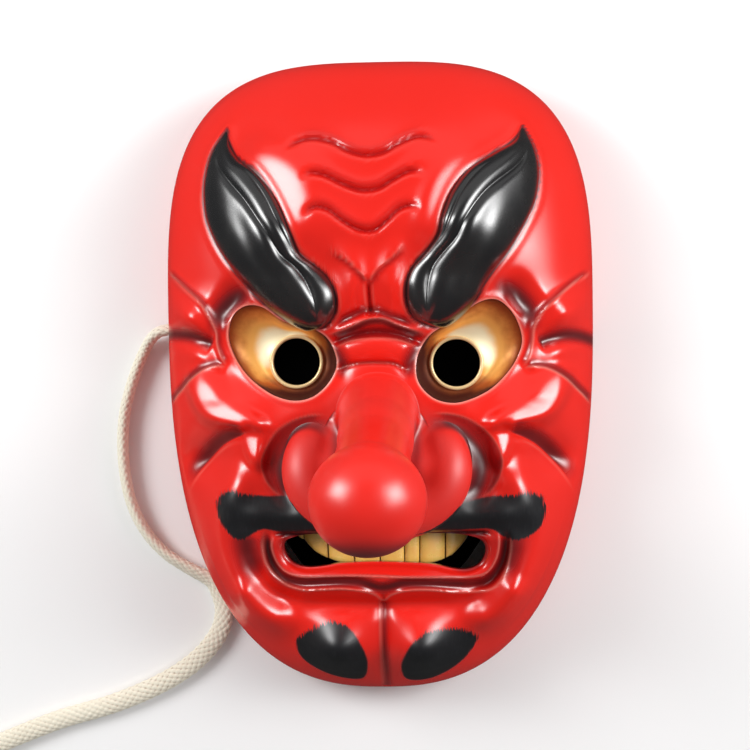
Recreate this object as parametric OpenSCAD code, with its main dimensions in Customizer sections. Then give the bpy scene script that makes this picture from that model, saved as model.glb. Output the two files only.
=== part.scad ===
// A long-nosed goblin face mask with its left tie cord.
// Frame: the mask lies on its rim. X runs across the face, Y from chin to crown, Z out of the face.

/* [Shell] */
// Width of the mask across the cheeks
mask_w = 185; // [160:1:200]
// Height of the mask from chin to crown
mask_h = 272; // [240:1:290]
// Height of the widest level over the middle of the mask
widest_y = 30; // [20:1:40]
// Height of the face over the rim
face_d = 63; // [56:1:70]
// Height of the upright edge
edge_h = 12; // [10:1:14]
// How far the rim tucks in under the edge
edge_tuck = 4; // [0:0.5:5]
// Thickness of the cast wall
wall = 4; // [3:0.5:5]

/* [Nose] */
// Height of the nose tip over the rim
nose_reach = 162; // [150:1:180]
// Diameter of the ball at the nose tip
ball_d = 40; // [36:1:44]
// Width of the nose shaft
shaft_w = 32; // [28:1:34]
// Width over both nostril wings
wings_w = 78; // [72:1:82]
// How far the ball hangs below the nose opening's middle
nose_drop = 15; // [10:1:20]

/* [Eyes] */
// Distance from the middle of the face to each pupil
pupil_x = 33; // [31:0.5:35]
// Diameter of each pupil hole
pupil_d = 19; // [16:0.5:21]
// Height of the rim round each pupil hole
pupil_rim_h = 2; // [1:0.5:3]
// Thickness of each eye plate
plate_t = 2; // [1.5:0.5:3]

/* [Brows] */
// Height of each brow over the forehead
brow_h = 8; // [5:1:10]

/* [Teeth] */
// Number of teeth on the plate
teeth = 8; // [6:1:10]
// Height of the teeth plate
teeth_h = 17; // [14:1:19]

/* [Cord] */
// Diameter of the cord
cord_d = 6.5; // [5:0.5:7]
// Diameter of each cord hole in the edge
cord_hole_d = 8; // [7.5:0.5:9]
// Radius of the coil at the middle of its turns
coil_r = 47; // [45:1:52]

/* [Hidden] */
red = "#e8231e";
black = "#151516";
gold = "#b98a35";
cotton = "#ece4d0";
fit = 0.3;
// A seat this far off the face keeps a glued piece from cutting into it
seat_gap = 0.1;
// Grid of the shell, corners of the nose's rings, and sides of round pieces
sectors = 72;
rings = 17;
nose_sectors = 48;
round_sides = 96;

// Exponents of the outline above and below the widest level
crown_power = 3.15;
cheek_power = 2.5;
chin_power = 2.6;
// Height over which the sides' exponent goes from one to the other
power_blend = 50;

// The nose opening, an ellipse that the polar grids of shell and nose start from
nose_mid = [0, -27];
opening_half = [24, 22];

// Shares of the edge's height at which its rings lie, down the outside and up the inside
edge_steps_down = [0.6, 0.25, 0];
edge_steps_up = [0, 0.35];

// The nose's flare into its wings: the level where it ends, how fast it fades and its height over the shaft
flare_z = 64;
flare_fade = 13;
flare_h = 13;
wings_h = 60;
nose_lip = 2;
// Levels of the shaft's rings, outside and inside
shaft_levels = [68, 74, 80, 86, 94, 104, 116];
hollow_levels = [84, 94, 104, 116];

// The face's swellings and hollows: place, height and the two half-spreads, mirrored across X = 0
relief = [
    [[42, 62], 4, [20, 30]],      // brow bed
    [[8, 42], 5, [9, 11]],        // frown bulge
    [[36, 8], -9, [24, 15]],      // eye socket
    [[76, 26], 4, [9, 8]],        // temple fold
    [[60, -14], 5, [15, 12]],     // cheekbone
    [[66, -34], -7, [15, 8]],     // cheek hollow
    [[54, -72], 6, [11, 30]],     // jowl
    [[0, -84], 5, [38, 5]],       // lower lip
    [[20, -94], -4, [26, 5]],     // crease under the lip
    [[17, -114], 6, [12, 12]]     // chin
];

// Outlines of the left eye, right eye and mouth, corner by corner
eye_outline = [[17, 3], [18, 10], [23, 16], [31, 20], [38, 24], [46, 29], [53, 29], [59, 22], [60, 13],
               [57, 4], [51, -3], [43, -8], [34, -10.5], [26, -9.5], [20, -5]];
mouth_outline = [[-40, -67], [-30, -65], [0, -64], [30, -65], [42, -67], [43, -73], [36, -78], [0, -79],
                 [-34, -77.5], [-41, -73]];

// Height of the pupils, how much of its opening an eye plate fills, and how far it is sunk and dished
pupil_y = 5;
plate_share = 0.985;
plate_sink = 2;
plate_dish = 2;
plate_steps = [0.12, 0.4, 0.7, 1];

// Middle line and half-width of a brow, from the inner bulb to the outer tip
brow_line = [[20, 24, 3], [23, 30, 9], [30, 38, 13], [38, 49, 15], [46, 60, 16], [53, 72, 14],
             [58, 84, 9], [60, 93, 4], [60, 98, 0.5]];

// Half-width over which a brow has its full height
brow_full = 12;

// The teeth plate is an arc: its radius, its sweep, its thickness and the level of its top
teeth_bend_r = 70;
teeth_sweep = 62;
teeth_t = 5;
teeth_top = -59;
groove_w = 1;
groove_t = 1.2;

// Places of the cord: the hole, then the route to the coil
cord_hole = [mask_w / 2, 21, edge_h];
cord_route = [[-87, 21, 12], [-92.5, 21, 12], [-97, 20.3, 11.3], [-101, 18, 8.5], [-104.5, 14, 5],
              [-108, 7, 3.4], [-112, -4, 3.3], [-115, -16, 3.3], [-116, -30, 3.3], [-115, -44, 3.3],
              [-112, -57, 3.3], [-106, -69, 3.3], [-97, -79, 3.3], [-86, -86, 3.3], [-77, -91, 3.3],
              [-73.5, -97, 3.3], [-71.5, -104, 3.3], [-73, -113, 3.3], [-80, -123, 3.3],
              [-91, -132, 3.3], [-106, -140, 3.3], [-124, -147, 3.3], [-145, -153, 3.3],
              [-166, -161, 3.3], [-187, -170, 3.3]];

// The coil of the cord's rest, a flat band of turns, and the knots at both of the cord's ends
coil_mid = [-236, -134];
coil_band = 21;
coil_h = 6.6;
stopper_r = 6.5;
end_knot_r = 6.5;
end_knot_turn = 110;
end_knot_flat = 0.6;

// The sides' exponent at height y, which changes smoothly
function side_power(y) =
    let (t = max(0, min(1, (y - widest_y) / power_blend + 0.5)))
    cheek_power + (crown_power - cheek_power) * t * t * (3 - 2 * t);

// How full the outline is at a place: 0 on the widest level's middle and 1 on the outline
function fullness(p, inset) =
    let (up = p.y > widest_y,
         half = mask_w / 2 - inset,
         reach = (up ? mask_h / 2 - widest_y : mask_h / 2 + widest_y) - inset)
    pow(abs(p.x) / half, side_power(p.y))
    + pow(abs(p.y - widest_y) / reach, up ? crown_power : chin_power);

// Sum of the swellings and hollows at a place
function swelling(p) =
    let (x = abs(p.x))
    [for (r = relief) r[1] * exp(-pow((x - r[0].x) / r[2].x, 2) - pow((p.y - r[0].y) / r[2].y, 2))]
    * [for (r = relief) 1];

// Height of the face's outside (inset 0) or inside (inset wall) over the rim
function face_z(p, inset = 0) =
    let (open = max(0, 1 - fullness(p, inset)))
    edge_h + (face_d - edge_h) * sqrt(open) - inset + swelling(p) * min(1, open * 5);

// Distance from the nose to the outline in direction a, by halving
function outline_r(a, inset, low = 0, high = 300, turns = 24) =
    let (middle = (low + high) / 2)
    turns == 0 ? middle
    : fullness(nose_mid + middle * [cos(a), sin(a)], inset) < 1
        ? outline_r(a, inset, middle, high, turns - 1)
        : outline_r(a, inset, low, middle, turns - 1);

function opening_r(a, half = opening_half) = 1 / norm([cos(a) / half.x, sin(a) / half.y]);
function angles(count) = [for (i = [0 : count - 1]) 360 * i / count];

// One ring of the shell's grid, where s goes from 0 at the nose opening to 1 at the outline
function shell_ring(s, inset) =
    [for (a = angles(sectors))
        let (from = opening_r(a),
             to = outline_r(a, inset),
             p = nose_mid + (from + (to - from) * s) * [cos(a), sin(a)])
        [p.x, p.y, s == 1 ? edge_h - inset : face_z(p, inset)]];

// One ring of the edge, at height z, tucked in towards the rim
function edge_ring(z, inset) =
    [for (a = angles(sectors))
        let (p = nose_mid + (outline_r(a, inset) - edge_tuck * pow(1 - z / edge_h, 2)) * [cos(a), sin(a)])
        [p.x, p.y, z]];

// Points crowd towards the outline, where the face turns steep
function spread(k) = sin(90 * k / rings);

// A surface through rings of equal count: closed end to end, or capped at both ends
module lofted(all_rings, looped) {
    count = len(all_rings[0]);
    last = len(all_rings) - 1;
    sides = [for (k = [0 : last - (looped ? 0 : 1)], i = [0 : count - 1])
        let (j = (i + 1) % count,
             n = (k + 1) % len(all_rings))
        each [[k * count + i, n * count + i, n * count + j],
              [k * count + i, n * count + j, k * count + j]]];
    caps = looped ? [] : [[for (i = [0 : count - 1]) i],
                          [for (i = [count - 1 : -1 : 0]) last * count + i]];
    polyhedron([for (r = all_rings) each r], concat(sides, caps));
}

module eye_opening(side) {
    linear_extrude(face_d * 2)
        polygon([for (p = eye_outline) [side * p.x, p.y]]);
}

module face_shell() {
    outside = [for (k = [0 : rings]) shell_ring(spread(k), 0)];
    inside = [for (k = [rings : -1 : 0]) shell_ring(spread(k), wall)];
    edge_down = [for (e = edge_steps_down) edge_ring(edge_h * e, 0)];
    edge_up = [for (e = edge_steps_up) edge_ring(edge_h * e, wall)];
    color(red)
        difference() {
            lofted(concat(outside, edge_down, edge_up, inside), true);
            eye_opening(-1);
            eye_opening(1);
            linear_extrude(face_d * 2)
                polygon(mouth_outline);
            for (side = [-1, 1])
                translate([side * (cord_hole.x - wall * 3), cord_hole.y, cord_hole.z])
                    rotate([0, side * 90, 0])
                        cylinder(d = cord_hole_d, h = wall * 6, $fn = round_sides);
        }
}

// Half-width, half-height and drop of the nose's section at height z
ball_z = nose_reach - ball_d / 2;
function flare(z) = exp(-pow(max(0, z - flare_z) / flare_fade, 2));
function nose_half(z, thick) =
    let (ball = sqrt(max(0, pow(ball_d / 2 - thick, 2) - pow(z - ball_z, 2))),
         shaft = z < ball_z ? shaft_w / 2 - thick : 0)
    [max(ball, shaft) + flare(z) * (wings_w - shaft_w) / 2, max(ball, shaft) + flare(z) * flare_h];
function nose_centre(z) = nose_mid - [0, nose_drop * (z - face_d) / (ball_z - face_d)];
function nose_ring(z, thick) =
    [for (a = angles(nose_sectors))
        let (p = nose_centre(z) + opening_r(a, nose_half(z, thick)) * [cos(a), sin(a)])
        [p.x, p.y, z]];
function seat_ring(half, lift) =
    [for (a = angles(nose_sectors))
        let (p = nose_mid + opening_r(a, half) * [cos(a), sin(a)])
        [p.x, p.y, face_z(p) + lift]];

module nose() {
    spigot = opening_half - [fit, fit];
    bore = spigot - [wall, wall];
    foot = -wall - nose_lip;
    ball_r = ball_d / 2;
    out_levels = concat(shaft_levels, [for (a = [-50 : 12 : 88]) ball_z + ball_r * sin(a)]);
    in_levels = concat(hollow_levels, [for (a = [-45 : 15 : 85]) ball_z + (ball_r - wall) * sin(a)]);
    outside = [for (k = [len(out_levels) - 1 : -1 : 0]) nose_ring(out_levels[k], 0)];
    seat = [seat_ring([wings_w, wings_h] / 2, seat_gap), seat_ring(spigot, seat_gap),
            seat_ring(spigot, foot), seat_ring(bore, foot), seat_ring(bore, 0)];
    hollow = [for (z = in_levels) nose_ring(z, wall)];
    color(red)
        lofted(concat(outside, seat, hollow), false);
}

// A brow is a pad draped on the face, domed across its width
module brow(side) {
    across = [for (t = [-1 : 0.25 : 1]) t];
    line = [for (b = brow_line) [b.x, b.y]];
    last = len(line) - 1;
    function along(k) =
        let (d = line[min(k + 1, last)] - line[max(k - 1, 0)])
        d / norm(d);
    function place(k, t) = line[k] + t * brow_line[k].z * [along(k).y, -along(k).x];
    function lift(k, t) = brow_h * min(1, brow_line[k].z / brow_full) * sqrt(1 - t * t * 0.9);
    sections = [for (k = [0 : last])
        [for (t = across) let (p = place(k, t)) [side * p.x, p.y, face_z(p) + lift(k, t)],
         for (i = [len(across) - 1 : -1 : 0])
             let (p = place(k, across[i])) [side * p.x, p.y, face_z(p) + seat_gap]]];
    color(black)
        lofted(side > 0 ? sections : [for (k = [last : -1 : 0]) sections[k]], false);
}

// An eye plate is a shallow dish in its opening, with a rimmed pupil hole
module eye(side) {
    pupil = [pupil_x, pupil_y];
    last = len(plate_steps) - 1;
    function plate_ring(s, drop) =
        [for (e = eye_outline)
            let (corner = pupil + (e - pupil) * plate_share,
                 p = pupil + (corner - pupil) * s,
                 level = face_z(corner) * s + face_z(pupil) * (1 - s))
            [side * p.x, p.y, level - plate_sink - plate_dish * (1 - s * s) - drop]];
    top = [for (s = plate_steps) plate_ring(s, 0)];
    under = [for (k = [last : -1 : 0]) plate_ring(plate_steps[k], plate_t)];
    sections = concat(top, under);
    base_z = face_z(pupil) - plate_sink - plate_dish;
    color(gold)
        difference() {
            union() {
                lofted(side > 0 ? sections : [for (k = [len(sections) - 1 : -1 : 0]) sections[k]], false);
                translate([side * pupil.x, pupil.y, base_z - plate_t])
                    cylinder(d = pupil_d + 2 * plate_t, h = plate_t + pupil_rim_h, $fn = round_sides);
            }
            translate([side * pupil.x, pupil.y, 0])
                cylinder(d = pupil_d, h = face_d * 2, $fn = round_sides);
        }
}

// The teeth plate is an arc behind the upper lip, with a groove between teeth
module upper_teeth() {
    front_z = face_z([0, -70]) - wall - 1;
    start = 90 - teeth_sweep / 2;
    color(gold)
        translate([0, teeth_top, front_z - teeth_bend_r])
            rotate([90, 0, 0])
                difference() {
                    rotate([0, 0, start])
                        rotate_extrude(angle = teeth_sweep, $fn = round_sides)
                            translate([teeth_bend_r - teeth_t, 0])
                                square([teeth_t, teeth_h]);
                    for (k = [1 : teeth - 1])
                        rotate([0, 0, start + teeth_sweep * k / teeth])
                            translate([teeth_bend_r - groove_t, -groove_w / 2, teeth_h / 4])
                                cube([2 * groove_t, groove_w, teeth_h]);
                }
}

// The cord is swept along its route with an octagon
module cord() {
    last = len(cord_route) - 1;
    function heading(k) =
        let (d = cord_route[min(k + 1, last)] - cord_route[max(k - 1, 0)])
        d / norm(d);
    function section(k) =
        let (h = heading(k),
             side = cross([0, 0, 1], h) / norm(cross([0, 0, 1], h)),
             up = cross(h, side))
        [for (i = [0 : 7])
            cord_route[k] + cord_d / 2 * (cos(45 * i + 22.5) * side + sin(45 * i + 22.5) * up)];
    color(cotton)
        lofted([for (k = [last : -1 : 0]) section(k)], false);
}

module cord_coil() {
    side = (coil_band - coil_h) / 2;
    color(cotton)
        translate([coil_mid.x, coil_mid.y, coil_h / 2])
            rotate_extrude($fn = round_sides)
                union() {
                    translate([coil_r - side, -coil_h / 2])
                        square([2 * side, coil_h]);
                    for (end = [-side, side])
                        translate([coil_r + end, 0])
                            circle(d = coil_h, $fn = 32);
                }
}

// A knot is a ball with one flat side, which the cord enters
module knot(r, flat) {
    rotate_extrude($fn = round_sides)
        intersection() {
            circle(r = r, $fn = 48);
            translate([0, flat - 2 * r])
                square([r, 2 * r]);
        }
}

// The stopper sits behind the left cord hole, with its flat against the cord's end
module cord_stopper_knot() {
    centre_x = -mask_w / 2 + wall + stopper_r + fit;
    color(cotton)
        translate([centre_x, cord_hole.y, cord_hole.z])
            rotate([0, -90, 0])
                knot(stopper_r, centre_x - cord_route[0].x);
}

// The end knot lies inside the coil, with its flat against the innermost turn
module cord_end_knot() {
    inner_r = coil_r - coil_band / 2;
    flat = end_knot_r * end_knot_flat;
    color(cotton)
        translate([coil_mid.x, coil_mid.y, end_knot_r])
            rotate([0, 0, end_knot_turn])
                translate([inner_r - flat, 0, 0])
                    rotate([0, 90, 0])
                        knot(end_knot_r, flat);
}

face_shell();
nose();
brow(-1);  // brow_left
brow(1);  // brow_right
eye(-1);  // eye_left
eye(1);  // eye_right
upper_teeth();
cord();
cord_coil();
cord_stopper_knot();
cord_end_knot();
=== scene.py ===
"""Looks of the long-nosed goblin mask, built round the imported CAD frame.

Lengths are millimetres until a mesh is made. Lamps, floor and camera are placed in metres.
"""

import math

import bmesh
import bpy
import numpy as np
from mathutils import Matrix, Vector


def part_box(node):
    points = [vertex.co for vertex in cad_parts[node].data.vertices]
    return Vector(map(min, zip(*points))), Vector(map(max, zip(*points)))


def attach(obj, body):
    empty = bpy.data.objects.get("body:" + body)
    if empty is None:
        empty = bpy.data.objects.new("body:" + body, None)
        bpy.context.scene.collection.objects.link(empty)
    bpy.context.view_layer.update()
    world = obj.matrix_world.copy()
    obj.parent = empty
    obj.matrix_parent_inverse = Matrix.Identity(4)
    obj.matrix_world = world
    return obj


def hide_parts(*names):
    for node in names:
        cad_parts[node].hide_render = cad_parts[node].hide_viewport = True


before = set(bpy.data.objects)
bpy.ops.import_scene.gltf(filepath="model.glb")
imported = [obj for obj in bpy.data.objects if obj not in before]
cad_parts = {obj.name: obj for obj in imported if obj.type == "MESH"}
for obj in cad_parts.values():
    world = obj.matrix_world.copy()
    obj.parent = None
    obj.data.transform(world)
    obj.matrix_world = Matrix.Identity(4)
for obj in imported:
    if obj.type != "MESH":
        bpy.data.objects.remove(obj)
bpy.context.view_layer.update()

MM = 0.001
shell_low, shell_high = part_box("face_shell")

# The shell's driving sizes, as in the CAD source
MASK_W = (shell_high.x - shell_low.x) / MM
MASK_H = (shell_high.y - shell_low.y) / MM
WIDEST_Y = 30.0
FACE_D = 63.0
EDGE_H = 12.0
EDGE_TUCK = 4.0
WALL = 4.0
CROWN_POWER, CHEEK_POWER, CHIN_POWER = 3.15, 2.5, 2.6
NOSE_MID = np.array([0.0, -27.0])
OPENING_HALF = (24.0, 22.0)
HOLE_Y, HOLE_Z, HOLE_R = 21.0, EDGE_H, 4.0


# ---------------------------------------------------------------- camera, light and floor

# The camera looks down on the face, a little from the right, and sees VIEW_W across at VIEW_FAR
CAMERA_AT, LOOKS_AT = Vector((0.020, 0.0, 0.560)), Vector((-0.0016, 0.0, 0.030))
CAMERA_ROLL = -0.6
SENSOR_W, VIEW_FAR, VIEW_W = 36.0, 0.530, 0.317625
FLOOR_REACH = 6.0
# The black sheet of painted shade under the mask: half-sizes, height and sides
SHADE_SHEET_HALF, SHADE_SHEET_Z, SHADE_SHEET_SIDES = (0.062, 0.104), 0.0004, 48


def make_camera():
    data = bpy.data.cameras.new("camera")
    data.sensor_width = SENSOR_W
    data.lens = SENSOR_W * VIEW_FAR / VIEW_W
    camera = bpy.data.objects.new("camera", data)
    bpy.context.scene.collection.objects.link(camera)
    camera.location = CAMERA_AT
    forward = (LOOKS_AT - CAMERA_AT).normalized()
    right = forward.cross(Vector((0, 1, 0))).normalized()
    upright = Matrix((right, right.cross(forward), -forward)).transposed()
    camera.rotation_euler = (upright @ Matrix.Rotation(math.radians(CAMERA_ROLL), 3, "Z")).to_euler()
    bpy.context.scene.camera = camera


def make_light(name, place, aim, size, watts):
    data = bpy.data.lights.new(name, "AREA")
    data.shape = "RECTANGLE"
    data.size, data.size_y = size
    data.energy = watts
    lamp = bpy.data.objects.new(name, data)
    bpy.context.scene.collection.objects.link(lamp)
    lamp.location = place
    lamp.rotation_euler = (Vector(aim) - Vector(place)).to_track_quat("-Z", "Y").to_euler()


def stage_sheet(name, corners, material_name, grey, rough):
    """A flat sheet that is part of the stage and not of the mask."""
    mesh = bpy.data.meshes.new(name)
    mesh.from_pydata(corners, [], [range(len(corners))])
    sheet = bpy.data.objects.new(name, mesh)
    bpy.context.scene.collection.objects.link(sheet)
    material = bpy.data.materials.new(material_name)
    material.use_nodes = True
    shader = material.node_tree.nodes["Principled BSDF"]
    shader.inputs["Base Color"].default_value = (grey, grey, grey, 1)
    shader.inputs["Roughness"].default_value = rough
    mesh.materials.append(material)
    return sheet


def make_stage():
    world = bpy.data.worlds.new("studio")
    bpy.context.scene.world = world
    world.use_nodes = True
    tree = world.node_tree
    sky = tree.nodes["Background"]
    sky.inputs["Color"].default_value = (1, 1, 1, 1)
    # The room is dimmer in reflections than in the light that it gives
    rays = tree.nodes.new("ShaderNodeLightPath")
    room = tree.nodes.new("ShaderNodeMapRange")
    room.inputs["To Min"].default_value = 0.25
    room.inputs["To Max"].default_value = 0.06
    tree.links.new(rays.outputs["Is Glossy Ray"], room.inputs["Value"])
    tree.links.new(room.outputs["Result"], sky.inputs["Strength"])
    corners = [(x * FLOOR_REACH, y * FLOOR_REACH, 0) for x, y in ((-1, -1), (1, -1), (1, 1), (-1, 1))]
    floor = stage_sheet("floor", corners, "paper", 0.93, 0.8)
    floor.visible_glossy = False
    # A black sheet laid on the floor under the mask is painted shade: it keeps the mask's openings dark
    around = np.linspace(0, math.tau, SHADE_SHEET_SIDES, endpoint=False)
    oval = [(SHADE_SHEET_HALF[0] * math.cos(a), SHADE_SHEET_HALF[1] * math.sin(a), SHADE_SHEET_Z) for a in around]
    stage_sheet("shade_sheet", oval, "shade_sheet_black", 0.006, 0.9)
    # Each softbox is bright in the middle and dims towards its edges: three lamps, each behind the wider one
    for name, place, size, watts in (("left", (-0.60, 0.27, 0.52), (0.50, 0.60), 5.2),
                                     ("right", (0.64, 0.18, 0.52), (0.56, 0.66), 6.0)):
        for part, share, further in (("wide", 1.0, 1.0), ("middle", 0.74, 1.02), ("heart", 0.48, 1.04)):
            make_light(f"softbox_{name}_{part}", Vector(place) * further, (0, 0, 0.05),
                       (size[0] * share, size[1] * share), watts / 3)
    make_light("softbox_top", (0.0, 0.75, 0.45), (0, 0.05, 0.05), (1.5, 0.7), 1.0)


make_camera()
make_stage()
bpy.context.scene.view_settings.view_transform = "Standard"


# ---------------------------------------------------------------- curves and fields

def smoothstep(low, high, v):
    t = np.clip((v - low) / (high - low), 0, 1)
    return t * t * (3 - 2 * t)


def run_length(line):
    """How far along the line each of its points is."""
    return np.concatenate([[0], np.cumsum(np.linalg.norm(np.diff(line, axis=0), axis=1))])


def smooth_run(values, times):
    """Smooths values along their first axis, in place, and keeps both ends."""
    for _ in range(times):
        values[1:-1] = (values[:-2] + 2 * values[1:-1] + values[2:]) / 4


def smooth_round(values):
    """The values smoothed once along their first axis, which closes on itself."""
    return (np.roll(values, 1, 0) + 2 * values + np.roll(values, -1, 0)) / 4


def mirror(points):
    return [(-x, y) for x, y in points]


def spline(points, per=10, closed=False):
    """A Catmull-Rom curve through the points, with per steps between two of them."""
    p = np.asarray(points, float)
    n = len(p)
    if closed:
        before, after, after2 = np.roll(p, 1, 0), np.roll(p, -1, 0), np.roll(p, -2, 0)
        start = p
    else:
        padded = np.vstack([2 * p[0] - p[1], p, 2 * p[-1] - p[-2]])
        before, start, after, after2 = padded[:-3], padded[1:-2], padded[2:-1], padded[3:]
    t = (np.arange(per) / per)[None, :, None]
    a, b, c, d = (q[:, None, :] for q in (before, start, after, after2))
    line = 0.5 * (2 * b + (c - a) * t + (2 * a - 5 * b + 4 * c - d) * t**2 + (3 * b - a - 3 * c + d) * t**3)
    line = line.reshape(-1, p.shape[1])
    return line if closed else np.vstack([line, p[-1:]])


def to_line(x, y, line, reach):
    """For the places within reach of a line: their numbers, signed distance (left of it is positive), and the
    share of the line's length at the nearest point."""
    low, high = line.min(0) - reach, line.max(0) + reach
    near = np.flatnonzero((x > low[0]) & (x < high[0]) & (y > low[1]) & (y < high[1]))
    if not len(near):
        return near, np.zeros(0), np.zeros(0)
    a, d = line[:-1], np.diff(line, axis=0)
    long2 = np.maximum((d**2).sum(1), 1e-12)
    along = np.concatenate([[0], np.cumsum(np.sqrt(long2))])
    best = np.full(len(near), 1e18)
    signed, share = np.zeros(len(near)), np.zeros(len(near))
    px, py = x[near], y[near]
    for k in range(len(a)):
        qx, qy = px - a[k, 0], py - a[k, 1]
        t = np.clip((qx * d[k, 0] + qy * d[k, 1]) / long2[k], 0, 1)
        ex, ey = qx - t * d[k, 0], qy - t * d[k, 1]
        r2 = ex * ex + ey * ey
        closer = r2 < best
        best[closer] = r2[closer]
        side = d[k, 0] * qy - d[k, 1] * qx
        signed[closer] = (np.sqrt(r2) * np.where(side >= 0, 1, -1))[closer]
        share[closer] = ((along[k] + t * math.sqrt(long2[k])) / along[-1])[closer]
    kept = np.abs(signed) < reach
    return near[kept], signed[kept], share[kept]


def inside_line(x, y, line):
    """Whether each place is inside a closed line."""
    found = np.zeros(len(x), bool)
    for (ax, ay), (bx, by) in zip(line, np.roll(line, -1, 0), strict=True):
        crosses = (ay > y) != (by > y)
        at = ax + (y - ay) * (bx - ax) / (by - ay if by != ay else 1e-9)
        found ^= crosses & (x < at)
    return found


def outline_distance(x, y, line, reach):
    """Signed distance to a closed line, positive outside, and reach where it is further."""
    value = np.full(len(x), float(reach))
    closed = np.vstack([line, line[:1]])
    near, signed, _ = to_line(x, y, closed, reach)
    value[near] = np.abs(signed)
    inside = inside_line(x, y, line)
    return np.where(inside, -value, value)


# ---------------------------------------------------------------- the face's surface

EYE_LEFT = spline([(-16, 3), (-16.5, 9), (-20, 15.5), (-27, 19.5), (-37, 22), (-45, 27.5), (-52, 28.5),
                   (-58, 25), (-60.5, 17), (-59, 10), (-55, 3), (-49, -3), (-41, -8), (-33, -10),
                   (-25.5, -8.5), (-19.5, -3.5)], 8, True)
EYE_RIGHT = spline([(16, 2.5), (17.5, 9.5), (22, 16), (30, 21), (37, 26), (44, 29.5), (50, 29), (56, 23),
                    (59, 14), (57, 6.5), (52.5, 0), (46, -6), (38, -10), (30.5, -11.5), (23, -9.5),
                    (17.5, -4)], 8, True)
MOUTH = spline([(-38, -67.5), (-33, -65.2), (-24, -64.2), (0, -63.6), (24, -64.2), (36, -65.2), (42, -67.5),
                (43.4, -72), (41, -77), (36, -79.2), (30, -78.8), (20, -76.6), (0, -75.6), (-15, -76.2),
                (-22, -77.4), (-29, -78), (-34.5, -76.5), (-37.8, -72.5)], 6, True)
PUPIL_LEFT, PUPIL_RIGHT = (-33.0, 5.8), (32.5, 4.6)
PUPIL_R = 9.6
RING_W = 1.5


def fullness(x, y, inset=0.0):
    """0 at the middle of the widest level and 1 on the mask's outline."""
    up = y > WIDEST_Y
    reach = np.where(up, MASK_H / 2 - WIDEST_Y, MASK_H / 2 + WIDEST_Y) - inset
    side_power = CHEEK_POWER + (CROWN_POWER - CHEEK_POWER) * smoothstep(-25, 25, y - WIDEST_Y)
    across = (np.abs(x) / (MASK_W / 2 - inset)) ** side_power
    return across + (np.abs(y - WIDEST_Y) / reach) ** np.where(up, CROWN_POWER, CHIN_POWER)


class Skin:
    """The face's height, and the shade and highlights painted on it, at some places."""

    def __init__(self, x, y, inset=0.0, fine=True):
        self.x, self.y = np.asarray(x, float).ravel(), np.asarray(y, float).ravel()
        open_share = np.maximum(0, 1 - fullness(self.x, self.y, inset))
        self.base = EDGE_H + (FACE_D - EDGE_H) * np.sqrt(open_share) - inset
        self.fade = np.minimum(1, open_share * 6)
        self.z = np.zeros(len(self.x))
        self.shade = np.zeros(len(self.x))
        self.glint = np.zeros(len(self.x))
        swell(self)
        if fine:
            carve(self)
        self.z = self.base + self.z * self.fade

    def patch(self, place, spread, turn):
        """Squared distance from place, as shares of the two half-spreads, which are turned."""
        c, s = math.cos(math.radians(turn)), math.sin(math.radians(turn))
        dx, dy = self.x - place[0], self.y - place[1]
        u, v = (dx * c + dy * s) / spread[0], (dy * c - dx * s) / spread[1]
        return u * u + v * v

    def bump(self, place, height, spread, turn=0.0):
        self.z += height * np.exp(-self.patch(place, spread, turn))

    def bumps(self, place, height, spread, turn=0.0):
        """The bump on the right of the face and its mirror image."""
        self.bump(place, height, spread, turn)
        self.bump((-place[0], place[1]), height, spread, -turn)

    def press(self, place, height, slope, spread, turn, share):
        """Presses a soft-edged patch part of the way to a tilted plane that is at height at its middle."""
        plane = height + slope[0] * (self.x - place[0]) + slope[1] * (self.y - place[1])
        self.z += share * np.exp(-(self.patch(place, spread, turn) ** 2)) * (plane - self.base - self.z)

    def presses(self, place, height, slope, spread, turn, share):
        """The pressed patch on the right of the face and its mirror image."""
        self.press(place, height, slope, spread, turn, share)
        self.press((-place[0], place[1]), height, (-slope[0], slope[1]), spread, -turn, share)

    # Painted shade: darkens the colour where shade falls on the face
    def darken(self, form, near=slice(None)):
        self.shade[near] = np.maximum(self.shade[near], form)

    # Painted highlight: a pale line where light glints on a sharp edge
    def paint_highlight(self, form, near=slice(None)):
        self.glint[near] = np.maximum(self.glint[near], form)

    def crest(self, points, height, left, right, ends=(0.15, 0.15), power=1.6, painted_shade=None, glint=0.0):
        """A ridge, or a groove if height is negative, whose sides fall off over left and right, and more
        steeply with a higher power. It fades in and out over two shares of its length, ends.
        spray is the painted shade beside it: (how dark, which side: 1 left, -1 right, 0 both, how wide), and
        glint is a painted highlight along its edge."""
        dark, side, wide = painted_shade or (0, 0, 0)
        reach = max(3.0 * left, 3.0 * right, 2.2 * wide)
        # A coarse line's corners would show on a wide ridge
        steps = 24 if max(left, right) > 6 else 10
        near, d, share = to_line(self.x, self.y, spline(points, steps), reach)
        fade = smoothstep(0, ends[0], share) * smoothstep(0, ends[1], 1 - share)
        self.z[near] += height * np.exp(-((np.abs(d) / np.where(d > 0, left, right)) ** power)) * fade
        # Painted shade beside the ridge
        if dark:
            if side:
                form = smoothstep(-0.5, 0.3, d * side) * (1 - smoothstep(0.25 * wide, wide, d * side))
            else:
                form = np.exp(-((d / wide) ** 2))
            self.darken(dark * form * fade, near)
        # Painted highlight along the ridge
        if glint:
            form = np.exp(-((d / 0.5) ** 2)) * fade
            self.paint_highlight(glint * form, near)

    def crests(self, points, height, left, right, ends=(0.15, 0.15), power=1.6, painted_shade=None, glint=0.0):
        """The ridge on the right of the face and its mirror image."""
        self.crest(points, height, left, right, ends, power, painted_shade, glint)
        turned = (painted_shade[0], -painted_shade[1], painted_shade[2]) if painted_shade else None
        self.crest(mirror(points), height, right, left, ends, power, turned, glint)


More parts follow.
